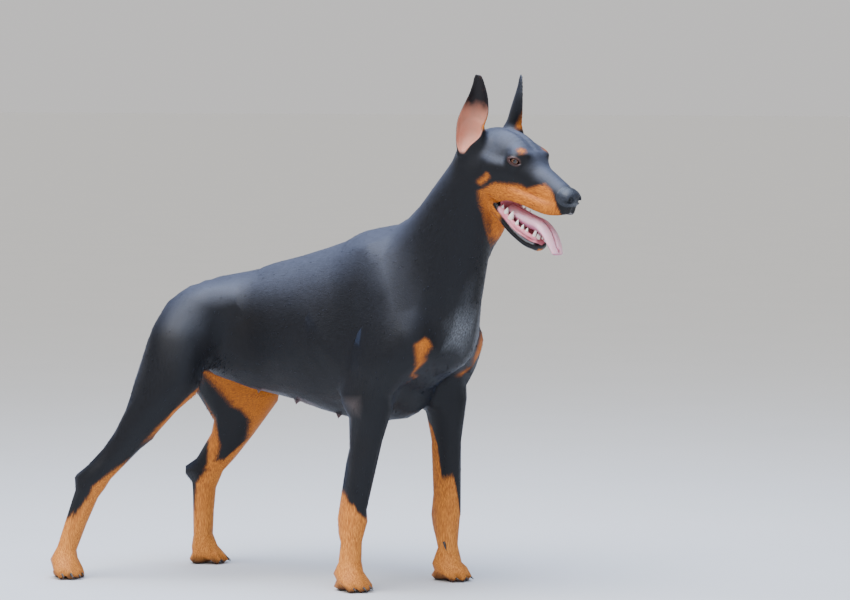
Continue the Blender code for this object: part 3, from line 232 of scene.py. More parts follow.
def paw(p, at, heading, size):
    """Four arched toes in a fan over a heel pad."""
    f = np.array([cos(heading), sin(heading), 0])
    s = np.array([-sin(heading), cos(heading), 0])
    base = np.array([at[0], at[1], 0])
    d = ellipsoid(p, base + f * 0.004 * size + (0, 0, 0.026), (0.026 * size, 0.024 * size, 0.024), np.stack([f, s, (0, 0, 1)]))
    d = smooth_min(d, ellipsoid(p, base - f * 0.008 * size + (0, 0, 0.008), (0.020 * size, 0.020 * size, 0.012), np.stack([f, s, (0, 0, 1)])), 0.01)
    for spread, reach in ((-0.0215, 0.020), (-0.0078, 0.033), (0.0078, 0.033), (0.0215, 0.020)):
        a = base + s * spread * 0.6 * size + f * (reach - 0.030) * size + (0, 0, 0.030)
        b = base + s * spread * size + f * (reach - 0.006) * size + (0, 0, 0.021)
        c = base + s * spread * size + f * (reach + 0.008) * size + (0, 0, 0.009)
        r = 0.0098 * size
        d = smooth_min(d, tube(p, [(*a, r, r, r), (*b, r * 1.12, r * 1.1, r), (*c, r * 0.95, r, r * 0.92)], s, 3), 0.004)
    return d


def hindleg(p, side):
    fx, fy = HIND_FOOT[side]
    h = REAR_TURN
    left = np.array([-sin(h), cos(h), 0])
    hip = beside(-0.425, side * 0.058, 0.470)
    if side == RIGHT:
        knee = np.array([-0.404, -0.172, 0.364])
        girth = 1.0
        hock = np.array([-0.563, -0.218, 0.174])
    else:
        knee = np.array([-0.360, 0.040, 0.332])
        girth = 1.18
        hock = np.array([-0.468, 0.040, 0.167])
    seat = beside(-0.447, side * 0.050, 0.440)
    croup = beside(-0.400, side * 0.048, 0.497)
    # thigh, wide from front to back
    rows = [(*hip, 0.060, 0.054, 0.040), (*(hip * 0.5 + knee * 0.5 + np.array([-0.012, 0, 0.004]) + side * 0.008 * left), 0.058, 0.056, 0.046),
            (*(knee + np.array([-0.016, 0, 0.0])), 0.041 if side == RIGHT else 0.047, 0.044, 0.036)]
    d = smooth_min(tube(p, rows, left, 4), ellipsoid(p, croup, (0.056, 0.034, 0.034)), 0.03)
    # hamstrings from the seat to the shank
    calf = knee * 0.55 + hock * 0.45
    rows = [(*seat, 0.036, 0.032, 0.034), (*(seat * 0.5 + calf * 0.5 + np.array([-0.016, 0, 0.004])), 0.040, 0.032, 0.034),
            (*(calf + np.array([-0.006, 0, 0.0])), 0.026, 0.029 if side == RIGHT else 0.021, 0.021)]
    d = smooth_min(d, tube(p, rows, left, 4), 0.045)
    # shank
    heel = hock + np.array([-0.024 if side == RIGHT else -0.035, 0, 0.006])
    rows = [(*knee, 0.031 * girth ** 1.8, 0.042, 0.032), (*(knee * 0.62 + hock * 0.38), 0.028 * girth ** 1.6, 0.034, 0.026),
            (*(knee * 0.28 + hock * 0.72), 0.0225 * girth ** 1.5, 0.0235 * girth, 0.0185), (*(hock + np.array([0.004, 0, 0.006])), 0.021, 0.024, 0.018)]
    d = smooth_min(d, tube(p, rows, left, 3), 0.025)
    # tendon and heel
    d = smooth_min(d, tube(p, [(*(calf + np.array([-0.022, 0, 0.0])), 0.014, 0.014, 0.013), (*(heel * 0.75 + calf * 0.25 + np.array([-0.002, 0, 0])), 0.008, 0.009, 0.008), (*heel, 0.013, 0.013, 0.0125)], left, 3), 0.016)
    foot = np.array([fx, fy, 0.038])
    down = foot - hock
    rows = [(*hock, 0.020, 0.026 if side == RIGHT else 0.032, 0.018), (*(hock + 0.35 * down), 0.0175, 0.0255, 0.0170),
            (*(hock + 0.72 * down), 0.0165, 0.0215, 0.017), (*foot, 0.019, 0.019, 0.020)]
    d = smooth_min(d, tube(p, rows, left, 3), 0.018)
    return smooth_min(d, paw(p, np.array([fx, fy]), HIND_PAW_TURN[side], 0.94), 0.014)


# Head, in its own frame: x forward, y out to the side, z up, from the middle between the eyes
EYE_AT = np.array([-0.0050, 0.0318, -0.0005])
EYE_RADIUS = 0.0120
EYE_OUT = np.array([0.66, 0.74, 0.10]) / np.linalg.norm([0.66, 0.74, 0.10])
EYE_ALONG = np.cross(EYE_OUT, (0.10, -0.16, 0.98))
EYE_ALONG /= np.linalg.norm(EYE_ALONG)
EYE_UP = np.cross(EYE_ALONG, EYE_OUT)
LID_LONG, LID_HIGH, LID_THICK = 0.0110, 0.0054, 0.0016

EAR_TIP = np.array([-0.1136, 0.0561, 0.1222])
EAR_OUT = np.array([0.60, 0.78, 0.15]) / np.linalg.norm([0.60, 0.78, 0.15])
EAR_UP = np.array([0, 0, 1.0]) - EAR_OUT * EAR_OUT[2]
EAR_UP /= np.linalg.norm(EAR_UP)
EAR_ACROSS = np.cross(EAR_UP, EAR_OUT)
# Height below the tip, middle of the opening, its half width and the cup's depth
EAR_ROWS = np.array([(-0.140, -0.006, 0.0045, 0.0045), (-0.123, -0.005, 0.0125, 0.013),
                     (-0.104, -0.009, 0.0210, 0.020), (-0.083, -0.009, 0.0230, 0.021),
                     (-0.060, -0.012, 0.0222, 0.017), (-0.035, -0.012, 0.0160, 0.0105),
                     (-0.018, -0.009, 0.0110, 0.0060), (-0.007, -0.006, 0.0078, 0.0040),
                     (0.0, -0.004, 0.0050, 0.0026)])
EAR_THICK = 0.0030

# Lips and jaw: x, y, z
UPPER_LIP = [(0.112, 0.009, -0.0575), (0.100, 0.0195, -0.0635), (0.080, 0.0265, -0.068),
             (0.055, 0.030, -0.068), (0.025, 0.0335, -0.0665), (-0.005, 0.0360, -0.0690),
             (-0.026, 0.0365, -0.0775)]
# Lower jaw: x, z, half height, half width
JAW = [(-0.056, -0.078, 0.024, 0.036), (-0.024, -0.098, 0.0165, 0.0335), (0.008, -0.1185, 0.0125, 0.029),
       (0.040, -0.1310, 0.0105, 0.0235), (0.061, -0.1335, 0.0090, 0.0180)]
TOOTH_RIDGE = [(-0.020, 0.0235, -0.0900), (0.000, 0.0215, -0.0985), (0.020, 0.0190, -0.1075),
               (0.040, 0.0155, -0.1125), (0.056, 0.0100, -0.1165), (0.062, 0.0030, -0.1180)]
# Throat, from behind the jaw down to the neck: x, z, radius in front, radius behind, half width
THROAT = [(-0.050, -0.098, 0.020, 0.020, 0.020), (-0.062, -0.130, 0.030, 0.024, 0.024),
          (-0.079, -0.162, 0.031, 0.026, 0.027), (-0.100, -0.200, 0.029, 0.026, 0.028)]
# Tongue: x, z, half thickness, half width
TONGUE = [(-0.014, -0.0925, 0.0095, 0.0150), (0.014, -0.0970, 0.0120, 0.0165), (0.038, -0.0990, 0.0125, 0.0170),
          (0.058, -0.0990, 0.0115, 0.0180), (0.078, -0.1060, 0.0085, 0.0185), (0.094, -0.1190, 0.0060, 0.0175),
          (0.107, -0.1330, 0.0042, 0.0135)]
SIDEWAYS = (0, 1, 0)


def level_row(x, top, bottom, half, at=0.5):
    """A tube row in the middle plane, from its top and bottom heights."""
    mid = bottom + at * (top - bottom)
    return (x, 0, mid, top - mid, mid - bottom, half)


def skull(q):
    d = tube(q, [level_row(-0.116, 0.012, -0.060, 0.033), level_row(-0.094, 0.031, -0.068, 0.044),
                 level_row(-0.060, 0.0400, -0.070, 0.0490), level_row(-0.026, 0.0365, -0.066, 0.0440),
                 level_row(0.004, 0.0210, -0.055, 0.0330)], SIDEWAYS, 4, 0.7)
    # furrow of the forehead
    d = smooth_cut(d, tube(q, [(-0.075, 0, 0.052, 0.012, 0.012, 0.004), (-0.03, 0, 0.049, 0.012, 0.012, 0.005),
                               (0.004, 0, 0.035, 0.012, 0.012, 0.004)], SIDEWAYS, 3), 0.012)
    # cheek muscle, cheek bone and brow
    d = smooth_min(d, ellipsoid(q, (-0.056, 0.037, -0.042), (0.038, 0.017, 0.036)), 0.022)
    d = smooth_min(d, tube(q, [(-0.080, 0.045, -0.016, 0.008, 0.010, 0.006), (-0.042, 0.0475, -0.020, 0.008, 0.012, 0.007),
                               (-0.012, 0.0360, -0.018, 0.007, 0.008, 0.006)], SIDEWAYS, 3), 0.016)
    return smooth_min(d, ellipsoid(q, (-0.003, 0.0255, 0.0135), (0.018, 0.011, 0.009)), 0.014)


def muzzle(q):
    d = tube(q, [level_row(-0.012, 0.014, -0.060, 0.0330), level_row(0.022, 0.0055, -0.064, 0.0300, 0.55),
                 level_row(0.060, -0.0045, -0.066, 0.0260, 0.5), level_row(0.090, -0.0125, -0.064, 0.0230, 0.5),
                 level_row(0.106, -0.0165, -0.058, 0.0190, 0.5)], SIDEWAYS, 4, 0.72)
    # flews, folded over the upper lip
    rows = [(x, y - 0.0035, z + 0.010, 0.013, 0.009, 0.0050) for x, y, z in UPPER_LIP]
    d = smooth_min(d, tube(q, rows, SIDEWAYS, 3), 0.008)
    # hollow of the mouth under the palate
    rows = [(0.096, 0, -0.0690, 0.0130, 0.020, 0.0130), (0.070, 0, -0.0720, 0.0150, 0.020, 0.0205),
            (0.030, 0, -0.0740, 0.0165, 0.020, 0.0245), (-0.006, 0, -0.0780, 0.0165, 0.016, 0.0260),
            (-0.020, 0, -0.0830, 0.0140, 0.012, 0.0250)]
    return smooth_cut(d, tube(q, rows, SIDEWAYS, 3), 0.004)


def nose(q):
    q = q + (0.0030, 0, 0.0020)
    d = ellipsoid(q, (0.1080, 0, -0.0295), (0.0205, 0.0190, 0.0160))
    d = smooth_min(d, ellipsoid(q, (0.1100, 0.0105, -0.0320), (0.0165, 0.0105, 0.0115)), 0.006)
    # philtrum and nostrils
    d = smooth_cut(d, tube(q, [(0.131, 0, -0.024, 0.002, 0.002, 0.0012), (0.129, 0, -0.040, 0.003, 0.003, 0.0014),
                               (0.121, 0, -0.052, 0.003, 0.003, 0.0014)], SIDEWAYS, 3), 0.003)
    d = smooth_cut(d, ellipsoid(q, (0.1230, 0.0098, -0.0310), (0.0100, 0.0046, 0.0052)), 0.0025)
    return smooth_cut(d, tube(q, [(0.1235, 0.0120, -0.0335, 0.0022, 0.0022, 0.0022), (0.1170, 0.0185, -0.0360, 0.0016, 0.0016, 0.0020),
                                  (0.1080, 0.0220, -0.0365, 0.0012, 0.0012, 0.0016)], SIDEWAYS, 3), 0.0025)


def gum_ridge(q):
    """The gum that the lower teeth stand in, inside the lip."""
    return tube(q, [(x, y, z - 0.0045, 0.0050, 0.0050, 0.0044) for x, y, z in TOOTH_RIDGE], (0, 0, 1), 3)


def lower_jaw(q):
    d = tube(q, [(x, 0, z, half, half * 1.15, w) for x, z, half, w in JAW], SIDEWAYS, 4, 0.8)
    d = smooth_min(d, gum_ridge(q), 0.003)
    # floor of the mouth, inside the row of teeth
    rows = [(x + 0.004, 0, z + 0.016, 0.016, 0.013, w - 0.0105) for x, z, half, w in JAW[1:]]
    return smooth_cut(d, tube(q, rows, SIDEWAYS, 4, 0.5), 0.004)


def tongue(q):
    return tube(q, [(x, 0, z, t, t, w) for x, z, t, w in TONGUE], SIDEWAYS, 4, 0.9)


def ear(q):
    """The shell of the ear and the hollow of its cup."""
    r = q - EAR_TIP
    h, a, o = r @ EAR_UP, r @ EAR_ACROSS, r @ EAR_OUT
    rows = spline(EAR_ROWS, 4)
    mid, half, deep = (np.interp(h, rows[:, 0], rows[:, i]) for i in (1, 2, 3))
    radius = (half ** 2 + deep ** 2) / (2 * deep)
    to_axis = np.hypot(a - mid, o - (radius - deep))
    past = np.maximum(np.maximum(h, -0.140 - h), 0)
    rim = 0.0014
    shell = np.abs(to_axis - radius) - EAR_THICK / 2
    shell = smooth_min(-shell, -(o - rim), 0.002) * -1
    shell = np.hypot(np.maximum(shell, 0), past) + np.minimum(shell, 0)
    cup = np.maximum(to_axis - radius + EAR_THICK / 2, np.maximum(h + 0.02, -0.137 - h))
    return shell, cup


def eyelids(q, d):
    """The lids: a skin over the eye, parted in an almond, with a rim."""
    r = q - EYE_AT
    e, a, b = r @ EYE_OUT, r @ EYE_ALONG, r @ EYE_UP
    from_eye = np.sqrt(e * e + a * a + b * b)
    d = smooth_min(d, from_eye - (EYE_RADIUS + 0.0016), 0.010)
    t = a / LID_LONG
    almond = np.sqrt(t * t + (b / (LID_HIGH * np.sqrt(np.maximum(1.02 - 0.75 * t * t, 0.05)))) ** 2)
    opening = np.maximum((almond - 1) * LID_HIGH, 0.002 - e)
    d = smooth_cut(d, opening, 0.0015)
    rim = np.hypot((almond - 1.06) * LID_HIGH, from_eye - EYE_RADIUS - 0.0008) - LID_THICK
    d = smooth_min(d, np.maximum(rim, -e), 0.003)
    return np.maximum(d, EYE_RADIUS + 0.0003 - from_eye)


def head(q):
    """The head without its eyes and tongue, alike on both sides."""
    q = np.column_stack([q[:, 0], np.abs(q[:, 1]), q[:, 2]])
    d = smooth_min(skull(q), muzzle(q), 0.020)
    d = smooth_min(d, nose(q), 0.003)
    d = smooth_min(d, lower_jaw(q), 0.007)
    d = smooth_min(d, tube(q, [(x, 0, z, a, b, w) for x, z, a, b, w in THROAT], SIDEWAYS, 4, 0.6), 0.014)
    d = smooth_min(d, ellipsoid(q, (-0.099, 0.050, 0.012), (0.025, 0.018, 0.034)), 0.022)
    shell, cup = ear(q)
    d = smooth_cut(d, cup, 0.003)
    d = smooth_min(d, shell, 0.006)
    return eyelids(q, d)


def whole(p):
    d = smooth_min(trunk(p), neck(p), 0.06)
    for side in (RIGHT, LEFT):
        d = smooth_min(d, foreleg(p, side), 0.030)
        d = smooth_min(d, hindleg(p, side), 0.035)
    # breast bone and docked tail
    d = smooth_min(d, ellipsoid(p, beside(0.078, 0, 0.440), (0.026, 0.026, 0.032)), 0.04)
    near = np.linalg.norm(p - EYES, axis=1) < 0.30
    local = (p[near] - EYES) @ HEAD_AXES.T
    d[near] = join_head(d[near], local)
    return d


def join_head(body, local):
    """The head on the neck, with the mouth and ears kept clear of the neck's blend."""
    forward = np.clip((local[:, 0] + 0.10) / 0.06, 0, 1)
    return smooth_min(body, head(local), 0.030 * (1 - forward) + 0.004 * forward)




# The skin lies inside the solids by the depth of the coat, less on the face
COAT_BODY, COAT_HEAD = 0.0011, 0.0003
CELL_BODY, CELL_PAW, CELL_HEAD, CELL_WIDE = (0.0034, 0.0022, 0.00125, 0.0030)
SKIN_TRIANGLES = 190000
SOLE = 0.0003


def shift_of_frame():
    """From the stance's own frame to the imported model's, by the middle of the eyes."""
    middles = []
    for side, name in ((RIGHT, "right_eye"), (LEFT, "left_eye")):
        lo, hi = (np.array(c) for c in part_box(name))
        middles.append((lo + hi) / 2 - head_point(EYE_AT[0], side * EYE_AT[1], EYE_AT[2]))
    return np.mean(middles, axis=0)


SHIFT = shift_of_frame()


def to_head(p):
    return (p - EYES) @ HEAD_AXES.T


def teat_places():
    """Along the belly, in pairs: x, side."""
    return [(x, side * 0.034) for x in (-0.300, -0.222, -0.132) for side in (RIGHT, LEFT)]


def docked_tail(p):
    rows = [(*beside(-0.450, 0, 0.482), 0.020, 0.020, 0.018), (*beside(-0.478, 0, 0.466), 0.015, 0.015, 0.014),
            (*beside(-0.492, 0, 0.438), 0.011, 0.011, 0.011)]
    return tube(p, rows, SIDEWAYS, 3)


# Shallow forms under the coat, alike on both sides: two ends (along the spine, outwards, height),
# how far they reach and how deep they are, hollows positive
RELIEF = [((-0.072, 0.108, 0.510), (-0.040, 0.122, 0.360), 0.020, 0.0050),
          ((-0.340, 0.080, 0.470), (-0.285, 0.088, 0.420), 0.040, 0.0080),
          ((-0.372, 0.090, 0.480), (-0.378, 0.075, 0.395), 0.016, -0.0035),
          ((0.122, 0.056, 0.545), (0.104, 0.064, 0.455), 0.014, 0.0060),
          ((0.062, 0.092, 0.470), (0.030, 0.110, 0.400), 0.024, -0.0030),
          ((-0.036, 0.070, 0.610), (0.050, 0.096, 0.470), 0.018, -0.0030),
          ((0.011, 0.126, 0.400), (-0.004, 0.118, 0.350), 0.012, 0.0030),
          ((-0.430, 0.128, 0.440), (-0.455, 0.140, 0.370), 0.018, 0.0025),
          ((-0.130, 0.106, 0.440), (-0.090, 0.104, 0.405), 0.018, -0.0035),
          ((-0.170, 0.105, 0.500), (-0.100, 0.112, 0.395), 0.007, -0.0022),
          ((-0.205, 0.102, 0.490), (-0.135, 0.106, 0.385), 0.007, -0.0022),
          ((-0.240, 0.098, 0.480), (-0.172, 0.100, 0.378), 0.007, -0.0018),
          ((0.060, 0.018, 0.372), (0.105, 0.012, 0.440), 0.010, 0.0030)]


def relief(p):
    """How much the muscles, ribs and folds under the coat lower the surface."""
    across = (p[:, 1] - spine_y(p[:, 0])) * np.cos(turn(p[:, 0]))
    q = np.column_stack([p[:, 0] + np.sin(turn(p[:, 0])) * across, np.abs(across), p[:, 2]])
    total = np.zeros(len(p))
    for a, b, reach, depth in RELIEF:
        total += depth * np.exp(-(np.maximum(capsule(q, a, b, 0, 0), 0) / reach) ** 2)
    return total


def skin_field(p):
    """The body's surface, one coat depth inside the solids, flat on the floor under the paws."""
    d = smooth_min(whole(p), docked_tail(p), 0.020) + relief(p)
    # the end of the breast bone, with its whorl
    d = smooth_min(d, ellipsoid(p, beside(0.104, -0.012, 0.447), (0.008, 0.009, 0.009)), 0.008)
    for x, out in teat_places():
        d = smooth_min(d, ellipsoid(p, teat_roots[x, out], (0.0044, 0.0044, 0.0090)), 0.006)
    face = np.clip((np.linalg.norm(p - EYES, axis=1) - 0.15) / 0.08, 0, 1)
    d = d + COAT_HEAD + (COAT_BODY - COAT_HEAD) * face
    return np.maximum(d, SOLE - p[:, 2])


def belly_root(x, out):
    """The point of the belly's surface over a point of the floor."""
    at = beside(x, out, 0)
    z = np.linspace(0.25, 0.45, 401)
    column = np.column_stack([np.full(401, at[0]), np.full(401, at[1]), z])
    return np.array([at[0], at[1], z[np.argmax(whole(column) < 0)] - 0.002])


teat_roots = {place: belly_root(*place) for place in teat_places()}


def graded(lo, hi, places, sizes, block):
    """Grid lines from lo past hi, with the cell size read along the way from named places."""
    lines = [lo]
    while lines[-1] < hi or (len(lines) - 1) % block:
        lines.append(lines[-1] + np.interp(lines[-1], places, sizes))
    return np.array(lines)


def graded_net(field, lines, block=8, part=4):
    """Quads on the field's zero level over graded grid lines, worked out only near the surface."""
    n = np.array([len(line) for line in lines])
    values = np.ones(n, np.float32)

    def middles(starts, size):
        ends = [line[np.minimum(starts[:, i] + size, len(line) - 1)] for i, line in enumerate(lines)]
        begins = [line[starts[:, i]] for i, line in enumerate(lines)]
        begins, ends = np.stack(begins, 1), np.stack(ends, 1)
        return (begins + ends) / 2, np.linalg.norm(ends - begins, axis=1) / 2

    def sorted_near(starts, size, margin):
        centre, reach = middles(starts, size)
        f = np.concatenate([field(centre[i:i + 4000]) for i in range(0, len(centre), 4000)])
        far = np.abs(f) > reach * 1.35 + margin
        for c in starts[far & (f < 0)]:
            values[c[0]:c[0] + size + 1, c[1]:c[1] + size + 1, c[2]:c[2] + size + 1] = -1
        return starts[~far]

    grid = np.stack(np.meshgrid(*[np.arange(0, m - 1, block) for m in n], indexing="ij"), -1).reshape(-1, 3)
    grid = grid[np.lexsort((grid[:, 1], grid[:, 2] // (4 * block), grid[:, 0] // (4 * block)))]
    grid = sorted_near(grid, block, 0.012)
    halves = np.stack(np.meshgrid(*[np.arange(0, block, part)] * 3, indexing="ij"), -1).reshape(-1, 3)
    grid = sorted_near((grid[:, None] + halves).reshape(-1, 3), part, 0.002)
    corners = np.stack(np.meshgrid(*[np.arange(part + 1)] * 3, indexing="ij"), -1).reshape(-1, 3)
    for i in range(0, len(grid), 300):
        idx = (grid[i:i + 300, None] + corners).reshape(-1, 3)
        flat = np.unique(np.ravel_multi_index(idx.T, n))
        at = np.unravel_index(flat, n)
        values.reshape(-1)[flat] = field(np.stack([line[a] for line, a in zip(lines, at)], 1))
    return quads_between(values, lines)


def quads_between(values, lines):
    """Surface nets: one point in each crossed cell, one quad across each crossed edge."""
    inside = values < 0
    m = [s - 1 for s in values.shape]
    cube = [(i, j, k) for i in (0, 1) for j in (0, 1) for k in (0, 1)]
    count = sum(inside[i:i + m[0], j:j + m[1], k:k + m[2]].astype(np.int8) for i, j, k in cube)
    cells = np.argwhere((count > 0) & (count < 8))
    total, hits = np.zeros((len(cells), 3)), np.zeros(len(cells))
    for a in cube:
        for axis in range(3):
            if a[axis]:
                continue
            b = list(a)
            b[axis] = 1
            va = values[tuple((cells + a).T)]
            vb = values[tuple((cells + b).T)]
            cross = (va < 0) != (vb < 0)
            t = np.where(cross, va / np.where(cross, va - vb, 1), 0)
            point = np.array(a, float) + t[:, None] * (np.array(b) - a)
            total += point * cross[:, None]
            hits += cross
    part = total / hits[:, None]
    verts = np.stack([line[cells[:, i]] + part[:, i] * (line[cells[:, i] + 1] - line[cells[:, i]])
                      for i, line in enumerate(lines)], 1)
    number = np.full(m, -1, np.int64)
    number[tuple(cells.T)] = np.arange(len(cells))
    faces = []
    for axis in range(3):
        u, v = (axis + 1) % 3, (axis + 2) % 3
        a = [slice(1, -1)] * 3
        b = [slice(1, -1)] * 3
        a[axis], b[axis] = slice(0, -1), slice(1, None)
        start, stop = inside[tuple(a)], inside[tuple(b)]
        eu, ev = np.eye(3, dtype=int)[u], np.eye(3, dtype=int)[v]
        for flip, hit in ((False, start & ~stop), (True, ~start & stop)):
            at = np.argwhere(hit)
            at[:, u] += 1
            at[:, v] += 1
            quad = np.stack([number[tuple((at - o).T)] for o in (eu + ev, ev, 0 * eu, eu)], 1)
            faces.append(quad[:, ::-1] if flip else quad)
    return verts, np.vstack(faces)


def mesh_from(name, verts, faces, smooth=True):
    """A mesh object from arrays, with its place in its mesh."""
    faces = np.asarray(faces)
    mesh = bpy.data.meshes.new(name)
    mesh.vertices.add(len(verts))
    mesh.vertices.foreach_set("co", np.asarray(verts, np.float32).ravel())
    mesh.loops.add(faces.size)
    mesh.loops.foreach_set("vertex_index", faces.ravel().astype(np.int32))
    mesh.polygons.add(len(faces))
    mesh.polygons.foreach_set("loop_start", (np.arange(len(faces)) * faces.shape[1]).astype(np.int32))
    mesh.update(calc_edges=True)
    mesh.validate()
    mesh.polygons.foreach_set("use_smooth", np.full(len(mesh.polygons), smooth))
    made = bpy.data.objects.new(name, mesh)
    bpy.context.scene.collection.objects.link(made)
    return made


def baked(made):
    """Swaps the object's mesh for its evaluated one and drops the modifiers."""
    bpy.context.view_layer.update()
    graph = bpy.context.evaluated_depsgraph_get()
    mesh = bpy.data.meshes.new_from_object(made.evaluated_get(graph))
    made.modifiers.clear()
    made.data = mesh
    return made


def thinned(made, triangles, weights=None):
    """Collapses edges to about this many triangles, least where weights are high."""
    made.data.calc_loop_triangles()
    modifier = made.modifiers.new("Decimate", "DECIMATE")
    modifier.ratio = min(1.0, triangles / len(made.data.loop_triangles))
    if weights is not None:
        group = made.vertex_groups.new(name="keep")
        for level in range(1, 11):
            chosen = np.flatnonzero(np.round(weights * 10) == level)
            group.add(chosen.tolist(), level / 10, "REPLACE")
        modifier.vertex_group = "keep"
        modifier.invert_vertex_group = True
        modifier.vertex_group_factor = 1.0
    baked(made)
    made.vertex_groups.clear()
    return made


def points_of(made):
    co = np.empty(len(made.data.vertices) * 3, np.float32)
    made.data.vertices.foreach_get("co", co)
    return co.reshape(-1, 3).astype(float)


def normals_of(made):
    no = np.empty(len(made.data.vertices) * 3, np.float32)
    made.data.vertex_normals.foreach_get("vector", no)
    return no.reshape(-1, 3).astype(float)


def set_attribute(made, name, values):
    layer = made.data.attributes.new(name, "FLOAT", "POINT")
    layer.data.foreach_set("value", np.asarray(values, np.float32))


def soft(x, edge0, edge1):
    """0 at edge0, 1 at edge1, eased."""
    t = np.clip((x - edge0) / (edge1 - edge0), 0, 1)
    return t * t * (3 - 2 * t)


def capsule(p, a, b, ra, rb):
    """Distance to a rod from a to b with its own radius at each end."""
    a, b = np.asarray(a, float), np.asarray(b, float)
    t = np.clip((p - a) @ (b - a) / ((b - a) @ (b - a)), 0, 1)
    return np.linalg.norm(p - a - t[:, None] * (b - a), axis=1) - ra - (rb - ra) * t


# Edge of the rust on the muzzle, seen from the side: x, z
MUZZLE_TOP = [(-0.070, -0.086), (-0.052, -0.066), (-0.034, -0.0514), (-0.0254, -0.0452), (-0.0058, -0.0412),
              (0.0175, -0.0358), (0.0314, -0.0388), (0.0482, -0.0300), (0.0655, -0.0205), (0.0826, -0.0260),
              (0.0928, -0.0348), (0.0987, -0.0444), (0.1066, -0.0555), (0.1119, -0.0640)]
MUZZLE_REAR = [(-0.200, -0.0460), (-0.1668, -0.0449), (-0.1588, -0.0430), (-0.1282, -0.0437), (-0.1058, -0.0469),
               (-0.0850, -0.0520), (-0.0730, -0.0545), (-0.0600, -0.0560)]
# Half width of the rust on the throat: z, half width
THROAT_HALF = [(-0.176, 0.002), (-0.1668, 0.0059), (-0.1588, 0.0162), (-0.1282, 0.0335), (-0.1058, 0.0429), (-0.085, 0.09)]
# Height of the rust round each foreleg: angle from the front, outwards positive, and height
FORE_RUST = {RIGHT: [(-180, 0.200), (-150, 0.290), (-119, 0.280), (-110, 0.240), (-98, 0.180), (-80, 0.185),
                     (-60, 0.160), (-40, 0.135), (-10, 0.129), (28, 0.143), (63, 0.153), (97, 0.153),
                     (127, 0.163), (180, 0.200)],
             LEFT: [(-180, 0.260), (-150, 0.300), (-119, 0.288), (-113, 0.252), (-105, 0.215), (-98, 0.178),
                    (-88, 0.180), (-67, 0.207), (-40, 0.205), (-21, 0.178), (5, 0.122), (60, 0.121),
                    (90, 0.135), (135, 0.160), (180, 0.260)]}
# Hind legs, from the bone's line: height and how far forward the rust begins on the outer side
HIND_OUT = [(0.078, -0.060), (0.087, -0.022), (0.095, -0.0057), (0.114, -0.0019), (0.1385, 0.0029),
            (0.1666, 0.0088), (0.1847, 0.0125), (0.2027, 0.0215), (0.218, 0.0262), (0.2488, 0.0322),
            (0.276, 0.0378), (0.3095, 0.0400), (0.337, 0.0465), (0.350, 0.060), (0.37, 0.09)]
# Black patches on the inner side, from the bone's line: forward, height
THIGH_PATCH = [(-0.14, 0.39), (-0.050, 0.365), (-0.044, 0.335), (-0.0424, 0.321), (-0.0073, 0.3027),
               (0.0267, 0.2807), (0.0385, 0.2578), (0.0393, 0.225), (0.034, 0.205), (0.0266, 0.1933),
               (0.0091, 0.2062), (-0.0092, 0.2447), (-0.0275, 0.2697), (-0.036, 0.275), (-0.060, 0.284), (-0.14, 0.31)]
HOCK_PATCH = [(-0.12, 0.235), (-0.034, 0.2320), (-0.019, 0.2243), (-0.0021, 0.174), (-0.0155, 0.151), (-0.0180, 0.130),
              (-0.0120, 0.082), (-0.03, 0.070), (-0.12, 0.07)]
# Black pads behind the wrists
CARPAL_PADS = {RIGHT: (-0.097, -0.1467, 0.088), LEFT: (0.0055, 0.0418, 0.075)}
KNEE = {RIGHT: (-0.404, -0.172, 0.364), LEFT: (-0.360, 0.040, 0.332)}
HOCK = {RIGHT: (-0.563, -0.218, 0.174), LEFT: (-0.468, 0.040, 0.167)}


def inside_outline(u, v, corners):
    """How far points of a plane lie inside a closed outline; outside, minus the distance to it."""
    corners = np.array(corners)
    nearest, within = np.full(len(u), 9.0), np.zeros(len(u), bool)
    for (au, av), (bu, bv) in zip(corners, np.roll(corners, -1, axis=0)):
        su, sv = bu - au, bv - av
        t = np.clip(((u - au) * su + (v - av) * sv) / (su * su + sv * sv), 0, 1)
        nearest = np.minimum(nearest, np.hypot(u - au - t * su, v - av - t * sv))
        if sv:
            within ^= ((av > v) != (bv > v)) & (u < au + (v - av) / sv * su)
    return np.where(within, nearest, -nearest)


def across_body(p):
    """How far a point lies to the left of the middle plane."""
    return (p[:, 1] - spine_y(p[:, 0])) * np.cos(turn(p[:, 0]))


def fore_rust(p, side):
    fx, fy = FORE_FOOT[side]
    r = p[:, :2] - (fx + 0.010, fy)
    ahead = np.array([cos(FRONT_TURN), sin(FRONT_TURN)])
    out = side * np.array([-sin(FRONT_TURN), cos(FRONT_TURN)])
    angle = np.degrees(np.arctan2(r @ out, r @ ahead))
    table = np.array(FORE_RUST[side])
    d = np.interp(angle, table[:, 0], table[:, 1]) - p[:, 2]
    return np.minimum(d, 0.075 - np.linalg.norm(r, axis=1))


def hind_rust(p, side):
    foot = (*HIND_FOOT[side], 0.0)
    line = np.array([foot, HOCK[side], KNEE[side]])
    z = p[:, 2]
    high = np.append(line[:, 2], 0.60)
    axis_x = np.interp(z, high, np.append(line[:, 0], line[2, 0] - 0.02))
    axis_y = np.interp(z, high, np.append(line[:, 1], line[2, 1] - side * 0.03))
    dx = p[:, 0] - axis_x
    outwards = side * (p[:, 1] - axis_y)
    outer = dx - np.interp(z, *np.array(HIND_OUT).T)
    black = np.maximum(inside_outline(dx, z, THIGH_PATCH), inside_outline(dx, z, HOCK_PATCH))
    belly = np.interp(p[:, 0], *np.array([(x, bottom) for x, top, bottom, half in TRUNK]).T)
    inner = np.minimum(-black, belly - 0.006 - z)
    blend = soft(outwards, -0.006, 0.006)
    d = inner * (1 - blend) + outer * blend
    near = 0.16 - np.hypot(dx, outwards)
    return np.minimum(d, np.minimum(near, 0.372 - z))


